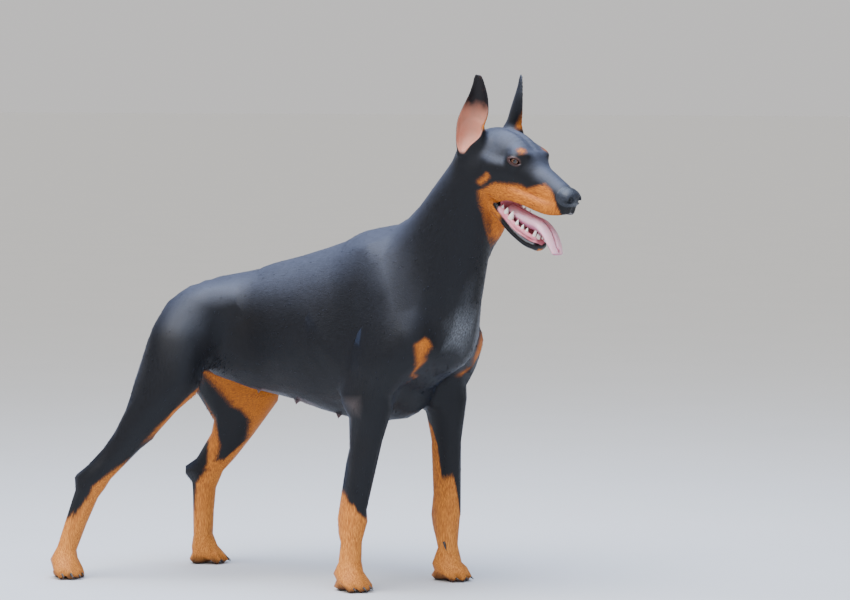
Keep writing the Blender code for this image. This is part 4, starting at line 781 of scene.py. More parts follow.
def rust_marks(p):
    """How far inside the rust marks a point of the skin lies, in metres."""
    q = to_head(p)
    q = np.column_stack([q[:, 0], np.abs(q[:, 1]), q[:, 2]])
    x, z = q[:, 0], q[:, 2]
    muzzle_marks = np.minimum(np.interp(x, *np.array(MUZZLE_TOP).T) - z, x - np.interp(z, *np.array(MUZZLE_REAR).T))
    muzzle_marks = np.minimum(muzzle_marks, np.minimum(0.110 - x, z + 0.176))
    muzzle_marks = np.minimum(muzzle_marks, np.interp(z, *np.array(THROAT_HALF).T) - q[:, 1])
    head_near = np.linalg.norm(q, axis=1) < 0.24
    flat = q * (1, 0, 1)
    cheek = -capsule(flat, (-0.0525, 0, -0.0535), (-0.0405, 0, -0.0380), 0.0048, 0.0056)
    brow = -ellipsoid(q, (0.002, 0.0285, 0.0185), (0.0090, 0.0080, 0.0068))
    inner_ear = np.minimum(q[:, 1] - 0.036, -capsule(flat, (-0.0810, 0, 0.038), (-0.0700, 0, 0.070), 0.0055, 0.0075))
    marks = np.maximum(np.maximum(muzzle_marks, cheek), np.maximum(brow, inner_ear))
    d = np.where(head_near, marks, -0.05)
    for side in (RIGHT, LEFT):
        hand = np.where(side * across_body(p) > 0, 1, -1)
        d = np.maximum(d, np.where((hand > 0) | (p[:, 2] < 0.27), fore_rust(p, side), -0.05))
        d = np.maximum(d, np.where(p[:, 0] < -0.30, hind_rust(p, side), -0.05))
        chest = -capsule(p, beside(0.091, side * 0.084, 0.437), beside(0.050, side * 0.066, 0.375), 0.0205, 0.0085)
        d = np.maximum(d, chest)
    vent = -ellipsoid(p, beside(-0.480, 0, 0.425), (0.030, 0.024, 0.026))
    return np.clip(np.maximum(d, vent), -0.03, 0.03)


def mouth_hollow(q):
    rows = [(0.096, 0, -0.0690, 0.0130, 0.020, 0.0130), (0.070, 0, -0.0720, 0.0150, 0.020, 0.0205),
            (0.030, 0, -0.0740, 0.0165, 0.020, 0.0245), (-0.006, 0, -0.0780, 0.0165, 0.016, 0.0260),
            (-0.020, 0, -0.0830, 0.0140, 0.012, 0.0250)]
    upper = tube(q, rows, SIDEWAYS, 3)
    rows = [(x + 0.004, 0, z + 0.016, 0.016, 0.013, w - 0.0105) for x, z, half, w in JAW[1:]]
    return np.minimum(upper, tube(q, rows, SIDEWAYS, 4, 0.5))


def face_marks(p):
    """Masks of the hairless parts of the head: gums, lips, nose leather, inner ear and lid rims."""
    q = to_head(p)
    q = np.column_stack([q[:, 0], np.abs(q[:, 1]), q[:, 2]])
    hollow = mouth_hollow(q)
    made = {}
    ridge = gum_ridge(q)
    made["gum"] = np.maximum(soft(hollow, 0.0022, 0.0006), soft(ridge, 0.0045, 0.0020))
    lower = soft(q[:, 2] - np.interp(q[:, 0], *np.array([(x, z) for x, z, h, w in JAW]).T), -0.006, 0.004)
    lower = lower * soft(q[:, 2] + 0.095 + 0.35 * q[:, 0], 0.004, -0.004)
    edge = 0.0040 + 0.0075 * lower
    made["lip"] = soft(hollow, edge + 0.0025, edge) * (q[:, 0] > -0.034)
    # the black lip hangs down over the front of the jaw
    deep = q[:, 2] - np.interp(q[:, 0], *np.array([(x, z) for x, z, h, w in JAW]).T)
    hanging = soft(deep, -0.0105, -0.0080) * soft(q[:, 0], -0.022, -0.006) * soft(deep, 0.022, 0.018)
    made["lip"] = np.maximum(made["lip"], hanging * soft(q[:, 1], 0.003, 0.008) * soft(q[:, 2], -0.088, -0.094))
    snout = soft(q[:, 0], 0.090, 0.094)
    made["leather"] = soft(nose(q), 0.0030, 0.0010) * snout
    muzzle_front = soft(np.abs(q[:, 1]), 0.016, 0.010) * soft(q[:, 0], 0.100, 0.106) * soft(q[:, 2], -0.040, -0.046)
    made["lip"] = np.maximum(made["lip"], muzzle_front)
    r = q - EAR_TIP
    h, a, o = r @ EAR_UP, r @ EAR_ACROSS, r @ EAR_OUT
    rows = spline(EAR_ROWS, 4)
    mid, half, deep = (np.interp(h, rows[:, 0], rows[:, i]) for i in (1, 2, 3))
    radius = (half ** 2 + deep ** 2) / (2 * deep)
    to_axis = np.hypot(a - mid, o - (radius - deep))
    inner = soft(to_axis - radius, 0.0008, -0.0006) * (np.abs(a - mid) < half + 0.002) * (o > -deep - 0.004)
    made["ear"] = inner * soft(h, -0.140, -0.132) * (h < 0.004) * (q[:, 0] < -0.06)
    made["ear_tip"] = soft(h, -0.074, -0.036)
    e = q - EYE_AT
    from_eye = np.linalg.norm(e, axis=1)
    b, c = e @ EYE_ALONG, e @ EYE_UP
    almond = np.sqrt((b / (LID_LONG + 0.0022)) ** 2 + (c / (LID_HIGH + 0.0018)) ** 2)
    made["lid"] = soft(almond, 1.22, 0.98) * soft(from_eye, EYE_RADIUS + 0.0055, EYE_RADIUS + 0.0030)
    # painted shade in the hollow round the eye
    made["socket"] = soft(almond, 2.0, 1.0) * soft(from_eye, EYE_RADIUS + 0.010, EYE_RADIUS + 0.004)
    on_muzzle = ellipsoid(q, (0.060, 0.028, -0.052), (0.030, 0.012, 0.014))
    made["whisker"] = soft(on_muzzle, 0.001, -0.004)
    return made


def body_marks(p):
    """Masks of thin hair and skin on the body: teats, elbow callus, pads, and the grey whorl of the chest and flank
    folds, grey hair with a painted highlight on it.
    """
    made = {}
    teat = np.full(len(p), 9.0)
    for root in teat_roots.values():
        teat = np.minimum(teat, ellipsoid(p, root - (0, 0, 0.002), (0.0065, 0.0065, 0.0095)))
    made["teat"] = soft(teat, 0.0015, -0.001)
    callus = np.minimum(ellipsoid(p, (-0.067, -0.172, 0.328), (0.009, 0.008, 0.010)),
                        ellipsoid(p, beside(-0.030, 0.105, 0.338), (0.009, 0.008, 0.010)))
    made["callus"] = soft(callus, 0.003, -0.006)
    carpal = np.full(len(p), 9.0)
    for side, at in CARPAL_PADS.items():
        carpal = np.minimum(carpal, ellipsoid(p, at, (0.009, 0.008, 0.010)))
    made["pad"] = np.maximum(soft(p[:, 2], 0.0065, 0.0035), soft(carpal, 0.002, -0.002))
    # grey hair of the chest's whorl and the flank folds, with a painted highlight on it
    grey = np.minimum(capsule(p, beside(0.134, -0.020, 0.494), beside(0.124, -0.028, 0.450), 0.014, 0.012),
                      capsule(p, beside(0.134, 0.020, 0.494), beside(0.124, 0.028, 0.450), 0.014, 0.012))
    for side in (RIGHT, LEFT):
        fold = capsule(p, beside(-0.412, side * 0.078, 0.368), beside(-0.338, side * 0.070, 0.360), 0.006, 0.008)
        grey = np.minimum(grey, fold)
    made["grey"] = soft(grey, 0.016, -0.006)
    return made


# Lines that the hair follows, from its root end to its tips
def flow_lines():
    lines = {"head": [head_point(0.11, 0, -0.03), head_point(0.0, 0, -0.02), head_point(-0.10, 0, -0.03)],
             "neck": [head_point(-0.09, 0, -0.02), beside(0.04, 0, 0.60), beside(-0.06, 0, 0.55)],
             "throat": [head_point(-0.05, 0, -0.13), beside(0.10, 0, 0.55), beside(0.06, 0, 0.38)],
             "trunk": [beside(-0.02, 0, 0.50), beside(-0.20, 0, 0.46), beside(-0.36, 0, 0.46), beside(-0.47, 0, 0.43)]}
    for side, word in ((RIGHT, "right"), (LEFT, "left")):
        fx, fy = FORE_FOOT[side]
        hx, hy = HIND_FOOT[side]
        lines[word + "_foreleg"] = [beside(0.03, side * 0.08, 0.48), beside(-0.02, side * 0.09, 0.36),
                                    np.array([fx + 0.012, fy, 0.12]), np.array([fx + 0.02, fy, 0.02])]
        lines[word + "_hindleg"] = [beside(-0.41, side * 0.07, 0.48), np.array(KNEE[side]), np.array(HOCK[side]),
                                    np.array([hx, hy, 0.03])]
        tip = head_point(EAR_TIP[0], side * EAR_TIP[1], EAR_TIP[2])
        lines[word + "_ear"] = [head_point(EAR_TIP[0] + 0.02, side * (EAR_TIP[1] - 0.004), -0.01), tip]
    return lines


def flow(p):
    """Direction of the hair's lie, from the nearest lines, and the nearest line with the place along it."""
    total = np.zeros_like(p)
    best, owner, along = np.full(len(p), 9e9), np.zeros(len(p), int), np.zeros(len(p))
    for number, points in enumerate(LINES.values()):
        points = np.array(points)
        nearest = np.full(len(p), 9e9)
        way, place, run = np.zeros_like(p), np.zeros(len(p)), 0.0
        for a, b in zip(points[:-1], points[1:]):
            step = b - a
            t = np.clip((p - a) @ step / (step @ step), 0, 1)
            d = np.linalg.norm(p - a - t[:, None] * step, axis=1)
            m = d < nearest
            nearest[m] = d[m]
            way[m] = step / np.linalg.norm(step)
            place[m] = run + t[m] * np.linalg.norm(step)
            run += np.linalg.norm(step)
        total += way * (1 / (nearest + 0.01) ** 4)[:, None]
        m = nearest < best
        best[m], owner[m], along[m] = nearest[m], number, place[m]
    total /= np.linalg.norm(total, axis=1)[:, None]
    return total, owner, along


LINES = flow_lines()


def linear(code):
    """sRGB hex to linear colour."""
    values = [int(code[i:i + 2], 16) / 255 for i in (1, 3, 5)]
    return tuple(v / 12.92 if v <= 0.04045 else ((v + 0.055) / 1.055) ** 2.4 for v in values) + (1.0,)


def add(tree, kind, inputs=None, out=0, **settings):
    """Adds a node, sets it, fills its inputs with values or links, and returns one of its outputs."""
    node = tree.nodes.new(kind)
    for key, value in settings.items():
        setattr(node, key, value)
    for key, value in (inputs or {}).items():
        if isinstance(value, bpy.types.NodeSocket):
            tree.links.new(value, node.inputs[key])
        else:
            node.inputs[key].default_value = value
    return node.outputs[out]


def blank_material(name, **sockets):
    """A material with only its shader, whose constant sockets are set on it directly."""
    made = bpy.data.materials.new(name)
    made.use_nodes = True
    shader = made.node_tree.nodes["Principled BSDF"]
    for key, value in sockets.items():
        shader.inputs[key.replace("_", " ")].default_value = value
    return made, made.node_tree, shader


def euler_of(axes):
    from mathutils import Matrix
    return Matrix(np.asarray(axes).T.tolist()).to_euler()


def hair_pattern(tree, long, wide, detail):
    """Noise drawn out along the lie of the hair: along the trunk, the neck, the head and down the legs."""
    place = add(tree, "ShaderNodeTexCoord", out="Object")
    neck_way = np.array([-0.50, 0.12, -0.80])
    neck_way /= np.linalg.norm(neck_way)
    neck_side = np.cross((0, 0, 1.0), neck_way)
    neck_side /= np.linalg.norm(neck_side)
    trunk_way = np.array([-0.97, 0.0, -0.24])
    layers = (("trunk", np.stack([trunk_way, (0, 1, 0), np.cross(trunk_way, (0, 1, 0))])),
              ("neck", np.stack([neck_way, neck_side, np.cross(neck_way, neck_side)])),
              ("head", HEAD_AXES),
              ("leg", np.array([(0, 0, -1.0), (0, 1, 0), (1, 0, 0)])))
    total = None
    for name, axes in layers:
        local = add(tree, "ShaderNodeMapping", {"Vector": place, "Rotation": euler_of(axes), "Scale": (long, wide, wide)},
                    vector_type="TEXTURE")
        noise = add(tree, "ShaderNodeTexNoise", {"Vector": local, "Scale": 1.0, "Detail": detail, "Roughness": 0.6})
        weight = add(tree, "ShaderNodeAttribute", out="Fac", attribute_name="lie_" + name)
        part = add(tree, "ShaderNodeMath", {0: noise, 1: weight}, operation="MULTIPLY")
        total = part if total is None else add(tree, "ShaderNodeMath", {0: total, 1: part}, operation="ADD")
    return total


def coat_colour(tree, streak):
    """Black hair with rust marks whose edge is broken by the hairs, and grey hairs in the whorl of the chest and the
    flank folds, brightened by a painted highlight.
    """
    place = add(tree, "ShaderNodeTexCoord", out="Object")
    cloud = add(tree, "ShaderNodeTexNoise", {"Vector": place, "Scale": 9.0, "Detail": 3.0})
    rust = add(tree, "ShaderNodeAttribute", out="Fac", attribute_name="rust")
    ragged = add(tree, "ShaderNodeMath", {0: streak, 1: 0.011, 2: -0.0055}, operation="MULTIPLY_ADD")
    edge = add(tree, "ShaderNodeMath", {0: rust, 1: ragged}, operation="ADD")
    rust_mask = add(tree, "ShaderNodeMapRange", {0: edge, 1: -0.0040, 2: 0.0040}, interpolation_type="SMOOTHSTEP")
    black = add(tree, "ShaderNodeMix", {0: streak, 6: linear("#020203"), 7: linear("#14151a")}, out=2, data_type="RGBA")
    worn = add(tree, "ShaderNodeMapRange", {0: cloud, 1: 0.50, 2: 0.72, 3: 0.0, 4: 0.5})
    black = add(tree, "ShaderNodeMix", {0: worn, 6: black, 7: linear("#0f0b0a")}, out=2, data_type="RGBA")
    # painted reflection: hair that faces up, high on the body, is painted blue-grey, a painted sheen of the light from
    # above
    facing = add(tree, "ShaderNodeNewGeometry", out="Normal")
    facing = add(tree, "ShaderNodeSeparateXYZ", {0: facing}, out="Z")
    painted_sky_sheen = add(tree, "ShaderNodeMapRange", {0: facing, 1: 0.05, 2: 0.95, 3: 0.0, 4: 0.9}, interpolation_type="SMOOTHSTEP")
    uneven = add(tree, "ShaderNodeMapRange", {0: streak, 1: 0.3, 2: 0.7, 3: 0.6, 4: 1.25})
    painted_sky_sheen = add(tree, "ShaderNodeMath", {0: painted_sky_sheen, 1: uneven}, operation="MULTIPLY", use_clamp=True)
    high = add(tree, "ShaderNodeSeparateXYZ", {0: place}, out="Z")
    high = add(tree, "ShaderNodeMapRange", {0: high, 1: 0.44, 2: 0.53})
    painted_sky_sheen = add(tree, "ShaderNodeMath", {0: painted_sky_sheen, 1: high}, operation="MULTIPLY")
    black = add(tree, "ShaderNodeMix", {0: painted_sky_sheen, 6: black, 7: linear("#414552")}, out=2, data_type="RGBA")
    # grey hair with a painted highlight: the chest's whorl and the flank folds
    grey = add(tree, "ShaderNodeAttribute", out="Fac", attribute_name="grey")
    grey_hair_and_highlight_streaks = add(tree, "ShaderNodeMapRange", {0: streak, 1: 0.40, 2: 0.66, 3: 0.20, 4: 0.75})
    grey = add(tree, "ShaderNodeMath", {0: grey, 1: grey_hair_and_highlight_streaks}, operation="MULTIPLY")
    black = add(tree, "ShaderNodeMix", {0: grey, 6: black, 7: linear("#8c9096")}, out=2, data_type="RGBA")
    # rust painted paler towards the feet: painted sunlight on the lower legs
    height_for_painted_sunlight = add(tree, "ShaderNodeSeparateXYZ", {0: place}, out="Z")
    pale = add(tree, "ShaderNodeMapRange", {0: height_for_painted_sunlight, 1: 0.30, 2: 0.06, 3: 0.0, 4: 1.0})
    deep = add(tree, "ShaderNodeMix", {0: pale, 6: linear("#86400c"), 7: linear("#a3581c")}, out=2, data_type="RGBA")
    light = add(tree, "ShaderNodeMix", {0: pale, 6: linear("#d47c20"), 7: linear("#e09240")}, out=2, data_type="RGBA")
    tone = add(tree, "ShaderNodeMapRange", {0: streak, 1: 0.34, 2: 0.66})
    tan_hair = add(tree, "ShaderNodeMix", {0: tone, 6: deep, 7: light}, out=2, data_type="RGBA")
    near_edge = add(tree, "ShaderNodeMapRange", {0: edge, 1: 0.007, 2: 0.0, 3: 0.0, 4: 0.65})
    tan_hair = add(tree, "ShaderNodeMix", {0: near_edge, 6: tan_hair, 7: linear("#5b2c10")}, out=2, data_type="RGBA")
    return add(tree, "ShaderNodeMix", {0: rust_mask, 6: black, 7: tan_hair}, out=2, data_type="RGBA"), rust_mask


def coat_material():
    """Short glossy hair lying flat over skin: streaks give it direction, sheen its blue-grey edge."""
    made, tree, shader = blank_material("short flat hair over hide", IOR=1.5, Specular_IOR_Level=0.26, Sheen_Weight=0.16,
                                        Sheen_Roughness=0.3, Sheen_Tint=linear("#7f93bd"))
    # hairs are 0.06 mm thick: drawn as 1.4 mm locks and 0.7 mm strands, so that they show
    streak = hair_pattern(tree, 0.011, 0.0014, 3.0)
    strand = hair_pattern(tree, 0.006, 0.0007, 2.0)
    colour, rust_mask = coat_colour(tree, streak)
    place = add(tree, "ShaderNodeTexCoord", out="Object")
    fine = add(tree, "ShaderNodeTexNoise", {"Vector": place, "Scale": 420.0, "Detail": 3.0})
    broad = add(tree, "ShaderNodeTexNoise", {"Vector": place, "Scale": 60.0, "Detail": 3.0})
    masks = {}
    for name in ("gum", "lip", "leather", "ear", "ear_tip", "lid", "socket", "whisker", "teat", "callus", "pad"):
        masks[name] = add(tree, "ShaderNodeAttribute", out="Fac", attribute_name=name)
    # painted shade: the hollow round the eye is darkened, with its painted sheen covered
    dark_socket = add(tree, "ShaderNodeMath", {0: masks["socket"], 1: 0.85}, operation="MULTIPLY")
    colour = add(tree, "ShaderNodeMix", {0: dark_socket, 6: colour, 7: linear("#0a090a")}, out=2, data_type="RGBA")
    # whisker roots, about 1 mm dots in rows
    dots = add(tree, "ShaderNodeTexVoronoi", {"Vector": place, "Scale": 170.0, "Randomness": 0.6}, out="Distance")
    dot = add(tree, "ShaderNodeMapRange", {0: dots, 1: 0.24, 2: 0.13, 3: 0.0, 4: 0.8})
    dot = add(tree, "ShaderNodeMath", {0: dot, 1: masks["whisker"]}, operation="MULTIPLY")
    colour = add(tree, "ShaderNodeMix", {0: dot, 6: colour, 7: linear("#2a150b")}, out=2, data_type="RGBA")
    # thin skin of the inner ear, darker towards the tip where hair covers it
    flesh = add(tree, "ShaderNodeMix", {0: broad, 6: linear("#a86049"), 7: linear("#e4a386")}, out=2, data_type="RGBA")
    tip = add(tree, "ShaderNodeMath", {0: broad, 1: 0.9, 2: -0.36}, operation="MULTIPLY_ADD")
    tip = add(tree, "ShaderNodeMath", {0: tip, 1: masks["ear_tip"]}, operation="ADD", use_clamp=True)
    flesh = add(tree, "ShaderNodeMix", {0: tip, 6: flesh, 7: linear("#191516")}, out=2, data_type="RGBA")
    not_rust = add(tree, "ShaderNodeMath", {0: 1.0, 1: rust_mask}, operation="SUBTRACT")
    ear_mask = add(tree, "ShaderNodeMath", {0: masks["ear"], 1: not_rust}, operation="MULTIPLY")
    colour = add(tree, "ShaderNodeMix", {0: ear_mask, 6: colour, 7: flesh}, out=2, data_type="RGBA")
    teat_skin = add(tree, "ShaderNodeMix", {0: fine, 6: linear("#4d3735"), 7: linear("#9a7570")}, out=2, data_type="RGBA")
    colour = add(tree, "ShaderNodeMix", {0: masks["teat"], 6: colour, 7: teat_skin}, out=2, data_type="RGBA")
    worn_skin = add(tree, "ShaderNodeMix", {0: fine, 6: linear("#5d5351"), 7: linear("#a8958f")}, out=2, data_type="RGBA")
    callus = add(tree, "ShaderNodeMath", {0: masks["callus"], 1: 0.8}, operation="MULTIPLY")
    colour = add(tree, "ShaderNodeMix", {0: callus, 6: colour, 7: worn_skin}, out=2, data_type="RGBA")
    colour = add(tree, "ShaderNodeMix", {0: masks["pad"], 6: colour, 7: linear("#131213")}, out=2, data_type="RGBA")
    gum = add(tree, "ShaderNodeMix", {0: broad, 6: linear("#bf5263"), 7: linear("#f5a9b2")}, out=2, data_type="RGBA")
    colour = add(tree, "ShaderNodeMix", {0: masks["lip"], 6: colour, 7: linear("#141112")}, out=2, data_type="RGBA")
    colour = add(tree, "ShaderNodeMix", {0: masks["gum"], 6: colour, 7: gum}, out=2, data_type="RGBA")
    leather = add(tree, "ShaderNodeMix", {0: fine, 6: linear("#15161a"), 7: linear("#3c4048")}, out=2, data_type="RGBA")
    colour = add(tree, "ShaderNodeMix", {0: masks["leather"], 6: colour, 7: leather}, out=2, data_type="RGBA")
    rim = add(tree, "ShaderNodeMix", {0: broad, 6: linear("#1c1110"), 7: linear("#5f4038")}, out=2, data_type="RGBA")
    colour = add(tree, "ShaderNodeMix", {0: masks["lid"], 6: colour, 7: rim}, out=2, data_type="RGBA")
    tree.links.new(colour, shader.inputs["Base Color"])
    bare = masks["gum"]
    for name in ("lip", "leather", "lid"):
        bare = add(tree, "ShaderNodeMath", {0: bare, 1: masks[name]}, operation="MAXIMUM")
    rough = add(tree, "ShaderNodeMapRange", {0: streak, 1: 0.3, 2: 0.7, 3: 0.38, 4: 0.62})
    rough = add(tree, "ShaderNodeMath", {0: rust_mask, 1: 0.18, 2: rough}, operation="MULTIPLY_ADD")
    rough = add(tree, "ShaderNodeMix", {0: masks["ear"], 2: rough, 3: 0.55}, data_type="FLOAT")
    rough = add(tree, "ShaderNodeMix", {0: bare, 2: rough, 3: 0.26}, data_type="FLOAT")
    tree.links.new(rough, shader.inputs["Roughness"])
    # bump: locks and strands on hair, pebbles on the nose, fine folds on bare skin
    pebble = add(tree, "ShaderNodeTexVoronoi", {"Vector": place, "Scale": 700.0}, out="Distance")
    coat_high = add(tree, "ShaderNodeMath", {0: strand, 1: 0.45, 2: streak}, operation="MULTIPLY_ADD")
    high = add(tree, "ShaderNodeMix", {0: bare, 2: coat_high, 3: fine}, data_type="FLOAT")
    high = add(tree, "ShaderNodeMix", {0: masks["leather"], 2: high, 3: pebble}, data_type="FLOAT")
    bump = add(tree, "ShaderNodeBump", {"Height": high, "Strength": 0.7, "Distance": 0.0005})
    tree.links.new(bump, shader.inputs["Normal"])
    return made


def tuft_material():
    """Single tufts of the same hair, with the same marks as the skin under them."""
    made, tree, shader = blank_material("hair tufts", IOR=1.5, Specular_IOR_Level=0.26, Roughness=0.45,
                                        Sheen_Weight=0.16, Sheen_Roughness=0.3, Sheen_Tint=linear("#7f93bd"))
    streak = hair_pattern(tree, 0.011, 0.0014, 3.0)
    colour, rust_mask = coat_colour(tree, streak)
    tree.links.new(colour, shader.inputs["Base Color"])
    return made


def eye_material():
    """Wet cornea over a dark brown iris: clear coat gives the glint, rings the depth."""
    made, tree, shader = blank_material("wet eye", IOR=1.376, Roughness=0.12, Coat_Weight=1.0, Coat_Roughness=0.02)
    ring = add(tree, "ShaderNodeAttribute", out="Fac", attribute_name="ring")
    spoke = add(tree, "ShaderNodeAttribute", out="Fac", attribute_name="spoke")
    fibre = add(tree, "ShaderNodeCombineXYZ", {0: spoke, 1: ring})
    fibres = add(tree, "ShaderNodeTexNoise", {"Vector": fibre, "Scale": 14.0, "Detail": 4.0})
    iris = add(tree, "ShaderNodeMix", {0: fibres, 6: linear("#3a2012"), 7: linear("#70452b")}, out=2, data_type="RGBA")
    limbus = add(tree, "ShaderNodeMapRange", {0: ring, 1: 0.44, 2: 0.58})
    white = add(tree, "ShaderNodeMix", {0: limbus, 6: iris, 7: linear("#120b09")}, out=2, data_type="RGBA")
    outer = add(tree, "ShaderNodeMapRange", {0: ring, 1: 0.66, 2: 0.80})
    white = add(tree, "ShaderNodeMix", {0: outer, 6: white, 7: linear("#40302b")}, out=2, data_type="RGBA")
    pupil = add(tree, "ShaderNodeMapRange", {0: ring, 1: 0.27, 2: 0.23})
    colour = add(tree, "ShaderNodeMix", {0: pupil, 6: white, 7: linear("#020202")}, out=2, data_type="RGBA")
    tree.links.new(colour, shader.inputs["Base Color"])
    return made


def tongue_material():
    """Wet muscle with papillae: rough pink top, smooth mauve sides."""
    made, tree, shader = blank_material("wet tongue", IOR=1.4, Subsurface_Weight=0.15, Subsurface_Scale=0.004,
                                        Coat_Weight=0.25, Coat_Roughness=0.25)
    place = add(tree, "ShaderNodeTexCoord", out="Object")
    cloud = add(tree, "ShaderNodeTexNoise", {"Vector": place, "Scale": 90.0, "Detail": 4.0})
    papillae = add(tree, "ShaderNodeTexVoronoi", {"Vector": place, "Scale": 1100.0}, out="Distance")
    pink = add(tree, "ShaderNodeMix", {0: cloud, 6: linear("#e59bab"), 7: linear("#fbd3da")}, out=2, data_type="RGBA")
    # painted shade in the median groove on top of the tongue
    groove = add(tree, "ShaderNodeAttribute", out="Fac", attribute_name="groove")
    pink = add(tree, "ShaderNodeMix", {0: groove, 6: pink, 7: linear("#b9687c")}, out=2, data_type="RGBA")
    under = add(tree, "ShaderNodeAttribute", out="Fac", attribute_name="under")
    pink = add(tree, "ShaderNodeMix", {0: under, 6: pink, 7: linear("#bb7088")}, out=2, data_type="RGBA")
    tree.links.new(pink, shader.inputs["Base Color"])
    rough = add(tree, "ShaderNodeMapRange", {0: cloud, 1: 0.3, 2: 0.7, 3: 0.32, 4: 0.5})
    tree.links.new(rough, shader.inputs["Roughness"])
    bump = add(tree, "ShaderNodeBump", {"Height": papillae, "Strength": 0.35, "Distance": 0.0004})
    tree.links.new(bump, shader.inputs["Normal"])
    return made


def tooth_material():
    """Enamel, ivory and glossy, yellower at the gum."""
    made, tree, shader = blank_material("tooth enamel", IOR=1.62, Coat_Weight=0.4, Coat_Roughness=0.1)
    place = add(tree, "ShaderNodeTexCoord", out="Object")
    cloud = add(tree, "ShaderNodeTexNoise", {"Vector": place, "Scale": 240.0, "Detail": 2.0})
    root = add(tree, "ShaderNodeAttribute", out="Fac", attribute_name="root")
    ivory = add(tree, "ShaderNodeMix", {0: cloud, 6: linear("#ece4d4"), 7: linear("#fbf8f0")}, out=2, data_type="RGBA")
    ivory = add(tree, "ShaderNodeMix", {0: root, 6: ivory, 7: linear("#e6d5c2")}, out=2, data_type="RGBA")
    tree.links.new(ivory, shader.inputs["Base Color"])
    rough = add(tree, "ShaderNodeMapRange", {0: cloud, 1: 0.3, 2: 0.7, 3: 0.18, 4: 0.34})
    tree.links.new(rough, shader.inputs["Roughness"])
    return made


def horn_material():
    """Claw horn, black and worn smooth, with growth lines along it."""
    made, tree, shader = blank_material("claw horn", IOR=1.55)
    place = add(tree, "ShaderNodeTexCoord", out="Object")
    lines = add(tree, "ShaderNodeMapping", {"Vector": place, "Scale": (0.012, 0.0012, 0.003)}, vector_type="TEXTURE")
    grain = add(tree, "ShaderNodeTexNoise", {"Vector": lines, "Scale": 1.0, "Detail": 3.0})
    horn = add(tree, "ShaderNodeMix", {0: grain, 6: linear("#0c0b0b"), 7: linear("#3a3431")}, out=2, data_type="RGBA")
    tree.links.new(horn, shader.inputs["Base Color"])
    rough = add(tree, "ShaderNodeMapRange", {0: grain, 1: 0.3, 2: 0.7, 3: 0.28, 4: 0.48})
    tree.links.new(rough, shader.inputs["Roughness"])
    bump = add(tree, "ShaderNodeBump", {"Height": grain, "Strength": 0.3, "Distance": 0.0003})
    tree.links.new(bump, shader.inputs["Normal"])
    return made


def lie_weights(p, normals):
    """How far each way of the hair's lie holds at a point: trunk, neck, head and leg."""
    q = to_head(p)
    head = soft(np.linalg.norm(q - (-0.02, 0, -0.03), axis=1), 0.125, 0.085)
    neck = soft(p[:, 2], 0.52, 0.60) * soft(p[:, 0], -0.03, 0.05) * (1 - head)
    neck = np.maximum(neck, soft(p[:, 0], 0.05, 0.09) * soft(p[:, 2], 0.36, 0.44) * (1 - head))
    leg_out = np.abs(across_body(p))
    leg = soft(p[:, 2], 0.33, 0.26)
    hind = soft(p[:, 0], -0.36, -0.43) * soft(p[:, 2], 0.50, 0.42)
    fore = soft(leg_out, 0.055, 0.080) * soft(p[:, 2], 0.46, 0.38) * soft(p[:, 0], -0.10, -0.06)
    leg = np.maximum(leg, np.maximum(hind, fore)) * (1 - neck)
    return {"lie_head": head, "lie_neck": neck, "lie_leg": leg, "lie_trunk": np.clip(1 - head - neck - leg, 0, 1)}


def mark(made, p, normals, face=True):
    """Writes the marks as attributes, from points of the stance's own frame."""
    values = {"rust": rust_marks(p)}
    values.update(body_marks(p))
    values.update(lie_weights(p, normals))
    if face:
        values.update(face_marks(p))
    for name, numbers in values.items():
        set_attribute(made, name, numbers)


def skin():
    lines = (graded(-0.70, 0.400, (0.03, 0.11), (CELL_BODY, CELL_HEAD), 8),
             graded(-0.30, 0.150, (-0.27, -0.24, 0.01, 0.04), (CELL_WIDE, 1.25 * CELL_HEAD, 1.25 * CELL_HEAD, CELL_WIDE), 8),
             graded(-0.02, 0.935, (0.05, 0.10, 0.54, 0.60), (CELL_PAW, CELL_BODY, CELL_BODY, CELL_HEAD), 8))
    verts, faces = graded_net(skin_field, lines)
    made = mesh_from("skin", verts, faces)
    face = soft(np.linalg.norm(verts - EYES, axis=1), 0.20, 0.13)
    thinned(made, SKIN_TRIANGLES, 0.85 * face)
    p = points_of(made)
    p[:, 2] = np.maximum(p[:, 2], SOLE)
    made.data.vertices.foreach_set("co", p.astype(np.float32).ravel())
    made.data.polygons.foreach_set("use_smooth", np.full(len(made.data.polygons), True))
    mark(made, p, normals_of(made))
    return made


def tongue_piece():
    def furrowed(p):
        q = to_head(p)
        d = tongue(q)
        groove = [(0.030, 0, -0.0880, 0.006, 0.006, 0.0018), (0.058, 0, -0.0925, 0.006, 0.006, 0.0020),
                  (0.082, 0, -0.1075, 0.006, 0.006, 0.0020), (0.100, 0, -0.1265, 0.006, 0.006, 0.0014)]
        return smooth_cut(d, tube(q, groove, SIDEWAYS, 3), 0.004) + 0.0002
    lo, hi = EYES + (-0.06, -0.10, -0.20), EYES + (0.14, 0.07, -0.02)
    cell = 0.0010
    lines = [graded(lo[i], hi[i], (0, 1), (cell, cell), 8) for i in range(3)]
    verts, faces = graded_net(furrowed, lines)
    made = mesh_from("tongue_flesh", verts, faces)
    thinned(made, 24000)
    made.data.polygons.foreach_set("use_smooth", np.full(len(made.data.polygons), True))
    p = points_of(made)
    q = to_head(p)
    # groove: where painted shade darkens the median groove along the top of the tongue
    set_attribute(made, "groove", soft(np.abs(q[:, 1]), 0.0040, 0.0008) * soft(normals_of(made) @ HEAD_Z, 0.2, 0.6))
    set_attribute(made, "under", soft(normals_of(made) @ HEAD_Z, 0.25, -0.35))
    return made


